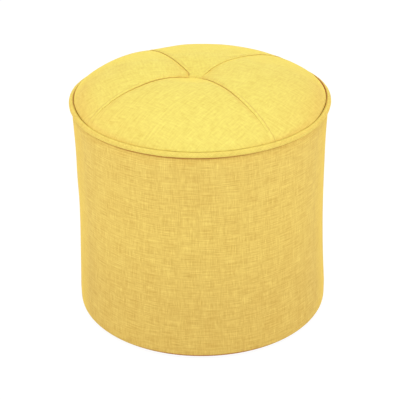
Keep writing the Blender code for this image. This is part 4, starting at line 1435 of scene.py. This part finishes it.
def plywood_material(name):
    """Birch plywood: long grain on the faces and thin plies, light and dark, up the edge."""
    made, tree, shader = new_material(name)
    place = object_place(tree)
    grain = use_group(tree, WOOD_GRAIN, {
        "Place": place, "Stretch": (5.0, 70.0, 70.0),
        "Dark": (0.55, 0.38, 0.21, 1), "Light": (0.76, 0.60, 0.39, 1),
    })
    ply = calc(tree, "SINE", times(tree, axis_of(tree, place, 2), math.tau / PLY_PAIR))
    ply = remap(tree, ply, -0.2, 0.5, 0.0, 0.45)
    edge = mix_colour(tree, ply, grain["Colour"], (0.42, 0.27, 0.14, 1))
    level = calc(tree, "ABSOLUTE", axis_of(tree, surface_direction(tree), 2))
    feed(tree, shader, {
        "Base Color": mix_colour(tree, remap(tree, level, 0.5, 0.8), edge, grain["Colour"]),
        "Roughness": 0.6,
        "Normal": bumped(tree, grain["Height"], 0.2, 0.0004),
    })
    return made


def steel_material():
    """Zinc-plated staple wire."""
    made, tree, shader = new_material("staple_steel")
    place = object_place(tree)
    tone = noise(tree, place, 260.0, 2.0)
    feed(tree, shader, {
        "Base Color": mix_colour(tree, tone, (0.52, 0.53, 0.55, 1), (0.72, 0.73, 0.75, 1)),
        "Roughness": remap(tree, noise(tree, place, 700.0, 2.0), 0.3, 0.7, 0.28, 0.5),
        "Metallic": 1.0,
    })
    return made


def plastic_material():
    """Dark moulded plastic of the glides, a little scuffed."""
    made, tree, shader = new_material("glide_plastic")
    scuff = noise(tree, object_place(tree), 420.0, 4.0, 0.65)
    tone = remap(tree, scuff, 0.45, 0.75)
    feed(tree, shader, {
        "Base Color": mix_colour(tree, tone, (0.035, 0.035, 0.036, 1), (0.075, 0.072, 0.07, 1)),
        "Roughness": remap(tree, scuff, 0.3, 0.7, 0.38, 0.62),
        "Normal": bumped(tree, scuff, 0.15, 0.0003),
    })
    return made


# Pieces of the object


def add_cover():
    """The top panels, sleeve and piping."""
    # One cloth in lit and shaded copies: the top's colours are painted lighter, the side's deeper
    top = cover_fabric(
        "top_fabric", (0.737, 0.556, 0.1), (0.94, 0.832, 0.2), 1.8, 0.5, 3.0, coarse=2.1, long=0.35
    )
    side = cover_fabric("side_fabric", (0.645, 0.39, 0.076), (0.92, 0.715, 0.182), 2.6, 0.56, 11.0)
    piping = cover_fabric("piping_fabric", (0.72, 0.52, 0.094), (0.955, 0.81, 0.19), 1.9, 0.5, 23.0)
    for name in PANELS:
        panel = finish_piece(make_top_panel(name), top, [f"top_panel_{name}"])
    sleeve = finish_piece(make_side_panel(), side, ["side_panel"])
    finish_piece(make_piping_cover(), piping, ["piping_cover"])
    thread = thread_material("stitch_thread", (0.62, 0.42, 0.09), (0.86, 0.66, 0.16))
    finish_piece(make_top_stitches(), thread)
    twine = thread_material("tuft_thread", (0.74, 0.56, 0.11), (0.93, 0.78, 0.2))
    finish_piece(make_tuft_twine(), twine, ["tuft_twine"])


def add_padding():
    """The wadding, the two foams and the piping's cord."""
    wadding = pad_material(
        "polyester_wadding", (0.78, 0.78, 0.76), (0.93, 0.93, 0.91), 700.0, 60.0, 0.8
    )
    foam = pad_material(
        "seat_foam_plastic", (0.78, 0.72, 0.50), (0.90, 0.86, 0.66), 1500.0, 300.0, 0.6
    )
    wrap = pad_material(
        "wrap_foam_plastic", (0.80, 0.79, 0.70), (0.92, 0.91, 0.84), 1500.0, 300.0, 0.6
    )
    cord = thread_material("cotton_cord", (0.72, 0.69, 0.60), (0.90, 0.87, 0.79))
    pad = finish_piece(make_seat_wadding(), wadding, ["seat_wadding"])
    pad = finish_piece(make_seat_foam(), foam, ["seat_foam"])
    pad = finish_piece(make_side_foam(), wrap, ["side_foam"])
    finish_piece(make_piping_cord(), cord, ["piping_cord"])


def add_underside():
    """The underside's cloth and the staples through its edge."""
    felt = pad_material(
        "bottom_cloth_felt", (0.018, 0.018, 0.019), (0.05, 0.05, 0.052), 1600.0, 260.0, 0.7
    )
    cloth = finish_piece(make_bottom_cloth(), felt, ["bottom_cloth"])
    finish_piece(make_staples(), steel_material())


def dress_drum():
    """Procedural materials on the CAD nodes that stay as they are."""
    hardboard = wood_material(
        "hardboard", (0.24, 0.135, 0.07), (0.38, 0.235, 0.13), (160.0, 160.0, 160.0), 0.55, 0.15
    )
    toggle = wood_material(
        "toggle_wood", (0.52, 0.33, 0.19), (0.74, 0.55, 0.36), (20.0, 240.0, 240.0), 0.5
    )
    timber = wood_material(
        "batten_wood", (0.60, 0.43, 0.24), (0.82, 0.66, 0.44), (150.0, 150.0, 5.0), 0.62
    )
    plastic = plastic_material()
    surfaces = {
        "drum_wall": hardboard,
        "seat_board": plywood_material("plywood_seat"),
        "base_board": plywood_material("plywood_base"),
        "tuft_toggle": toggle,
        **{f"batten_{number}": timber for number in range(1, 7)},
        **{f"glide_{number}": plastic for number in range(1, 5)},
    }
    for name, surface in surfaces.items():
        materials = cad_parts[name].data.materials
        materials.clear()
        materials.append(surface)


# Stage


def add_camera():
    """The photograph's camera."""
    data = bpy.data.cameras.new("camera")
    data.sensor_width = SENSOR * 1000
    data.lens = FOCAL_PIXELS / FRAME_PIXELS * SENSOR * 1000
    data.shift_x = (FRAME_PIXELS / 2 - OPTICAL_CENTRE[0]) / FRAME_PIXELS
    data.shift_y = (OPTICAL_CENTRE[1] - FRAME_PIXELS / 2) / FRAME_PIXELS
    data.clip_start, data.clip_end = 0.05, 50
    camera = add_object("camera", data)
    back = Vector((0, -math.cos(CAMERA_ELEVATION), math.sin(CAMERA_ELEVATION)))
    place = CAMERA_PIVOT + back * CAMERA_DISTANCE
    camera.matrix_world = looking_from(place, -back) @ Matrix.Rotation(CAMERA_ROLL, 4, "Z")
    bpy.context.scene.camera = camera


def looking_from(place, direction):
    """The matrix of a camera or light at a place, which looks in a direction."""
    return Matrix.Translation(place) @ direction.to_track_quat("-Z", "Y").to_matrix().to_4x4()


def white_to_camera(tree, shader, white):
    """A shader for light, with a white glow in its place where the camera or a mirror looks."""
    path = add_node(tree, "ShaderNodeLightPath")
    seen = calc(tree, "MAXIMUM", path.outputs["Is Camera Ray"], path.outputs["Is Glossy Ray"])
    seen = calc(tree, "MAXIMUM", seen, path.outputs["Is Transmission Ray"])
    return add_node(tree, "ShaderNodeMixShader", None, {0: seen, 1: shader, 2: white}).outputs[0]


def grey_shader(tree, kind, grey, inputs=None):
    """A shader of an even grey."""
    return add_node(tree, kind, None, {"Color": (grey, grey, grey, 1), **(inputs or {})}).outputs[0]


def add_floor():
    """A plain white floor: it keeps a soft shadow, over a steady white."""
    size = FLOOR_REACH
    mesh = bpy.data.meshes.new("floor")
    corners = [(-size, -size, 0), (size, -size, 0), (size, size, 0), (-size, size, 0)]
    mesh.from_pydata(corners, [], [(0, 1, 2, 3)])
    floor = add_object("floor", mesh)
    made = bpy.data.materials.new("floor_white")
    made.use_nodes = True
    tree = made.node_tree
    tree.nodes.clear()
    plain = grey_shader(tree, "ShaderNodeBsdfDiffuse", 0.80)
    shadow = grey_shader(tree, "ShaderNodeBsdfDiffuse", 0.12)
    glow = grey_shader(tree, "ShaderNodeEmission", 1, {"Strength": 0.93})
    seen = add_node(tree, "ShaderNodeAddShader", None, {0: shadow, 1: glow}).outputs[0]
    add_node(tree, "ShaderNodeOutputMaterial", None, {0: white_to_camera(tree, plain, seen)})
    mesh.materials.append(made)


def add_world():
    """Even white light from all round, and white behind."""
    world = bpy.data.worlds.new("world")
    bpy.context.scene.world = world
    world.use_nodes = True
    tree = world.node_tree
    tree.nodes.clear()
    light = grey_shader(tree, "ShaderNodeBackground", 1, {"Strength": WORLD_STRENGTH})
    white = grey_shader(tree, "ShaderNodeBackground", 1, {"Strength": 1.0})
    add_node(tree, "ShaderNodeOutputWorld", None, {0: white_to_camera(tree, light, white)})


def add_softboxes():
    """Square area lights that all look at the pouf's middle."""
    for name, (place, size, power) in SOFTBOXES.items():
        data = bpy.data.lights.new(name, "AREA")
        data.shape = "SQUARE"
        data.size = size
        data.energy = power
        direction = Vector(SOFTBOX_TARGET) - Vector(place)
        add_object(name, data).matrix_world = looking_from(place, direction)


add_camera()
add_floor()
add_world()
add_softboxes()
bpy.context.scene.view_settings.view_transform = "Standard"
add_cover()
add_padding()
add_underside()
dress_drum()
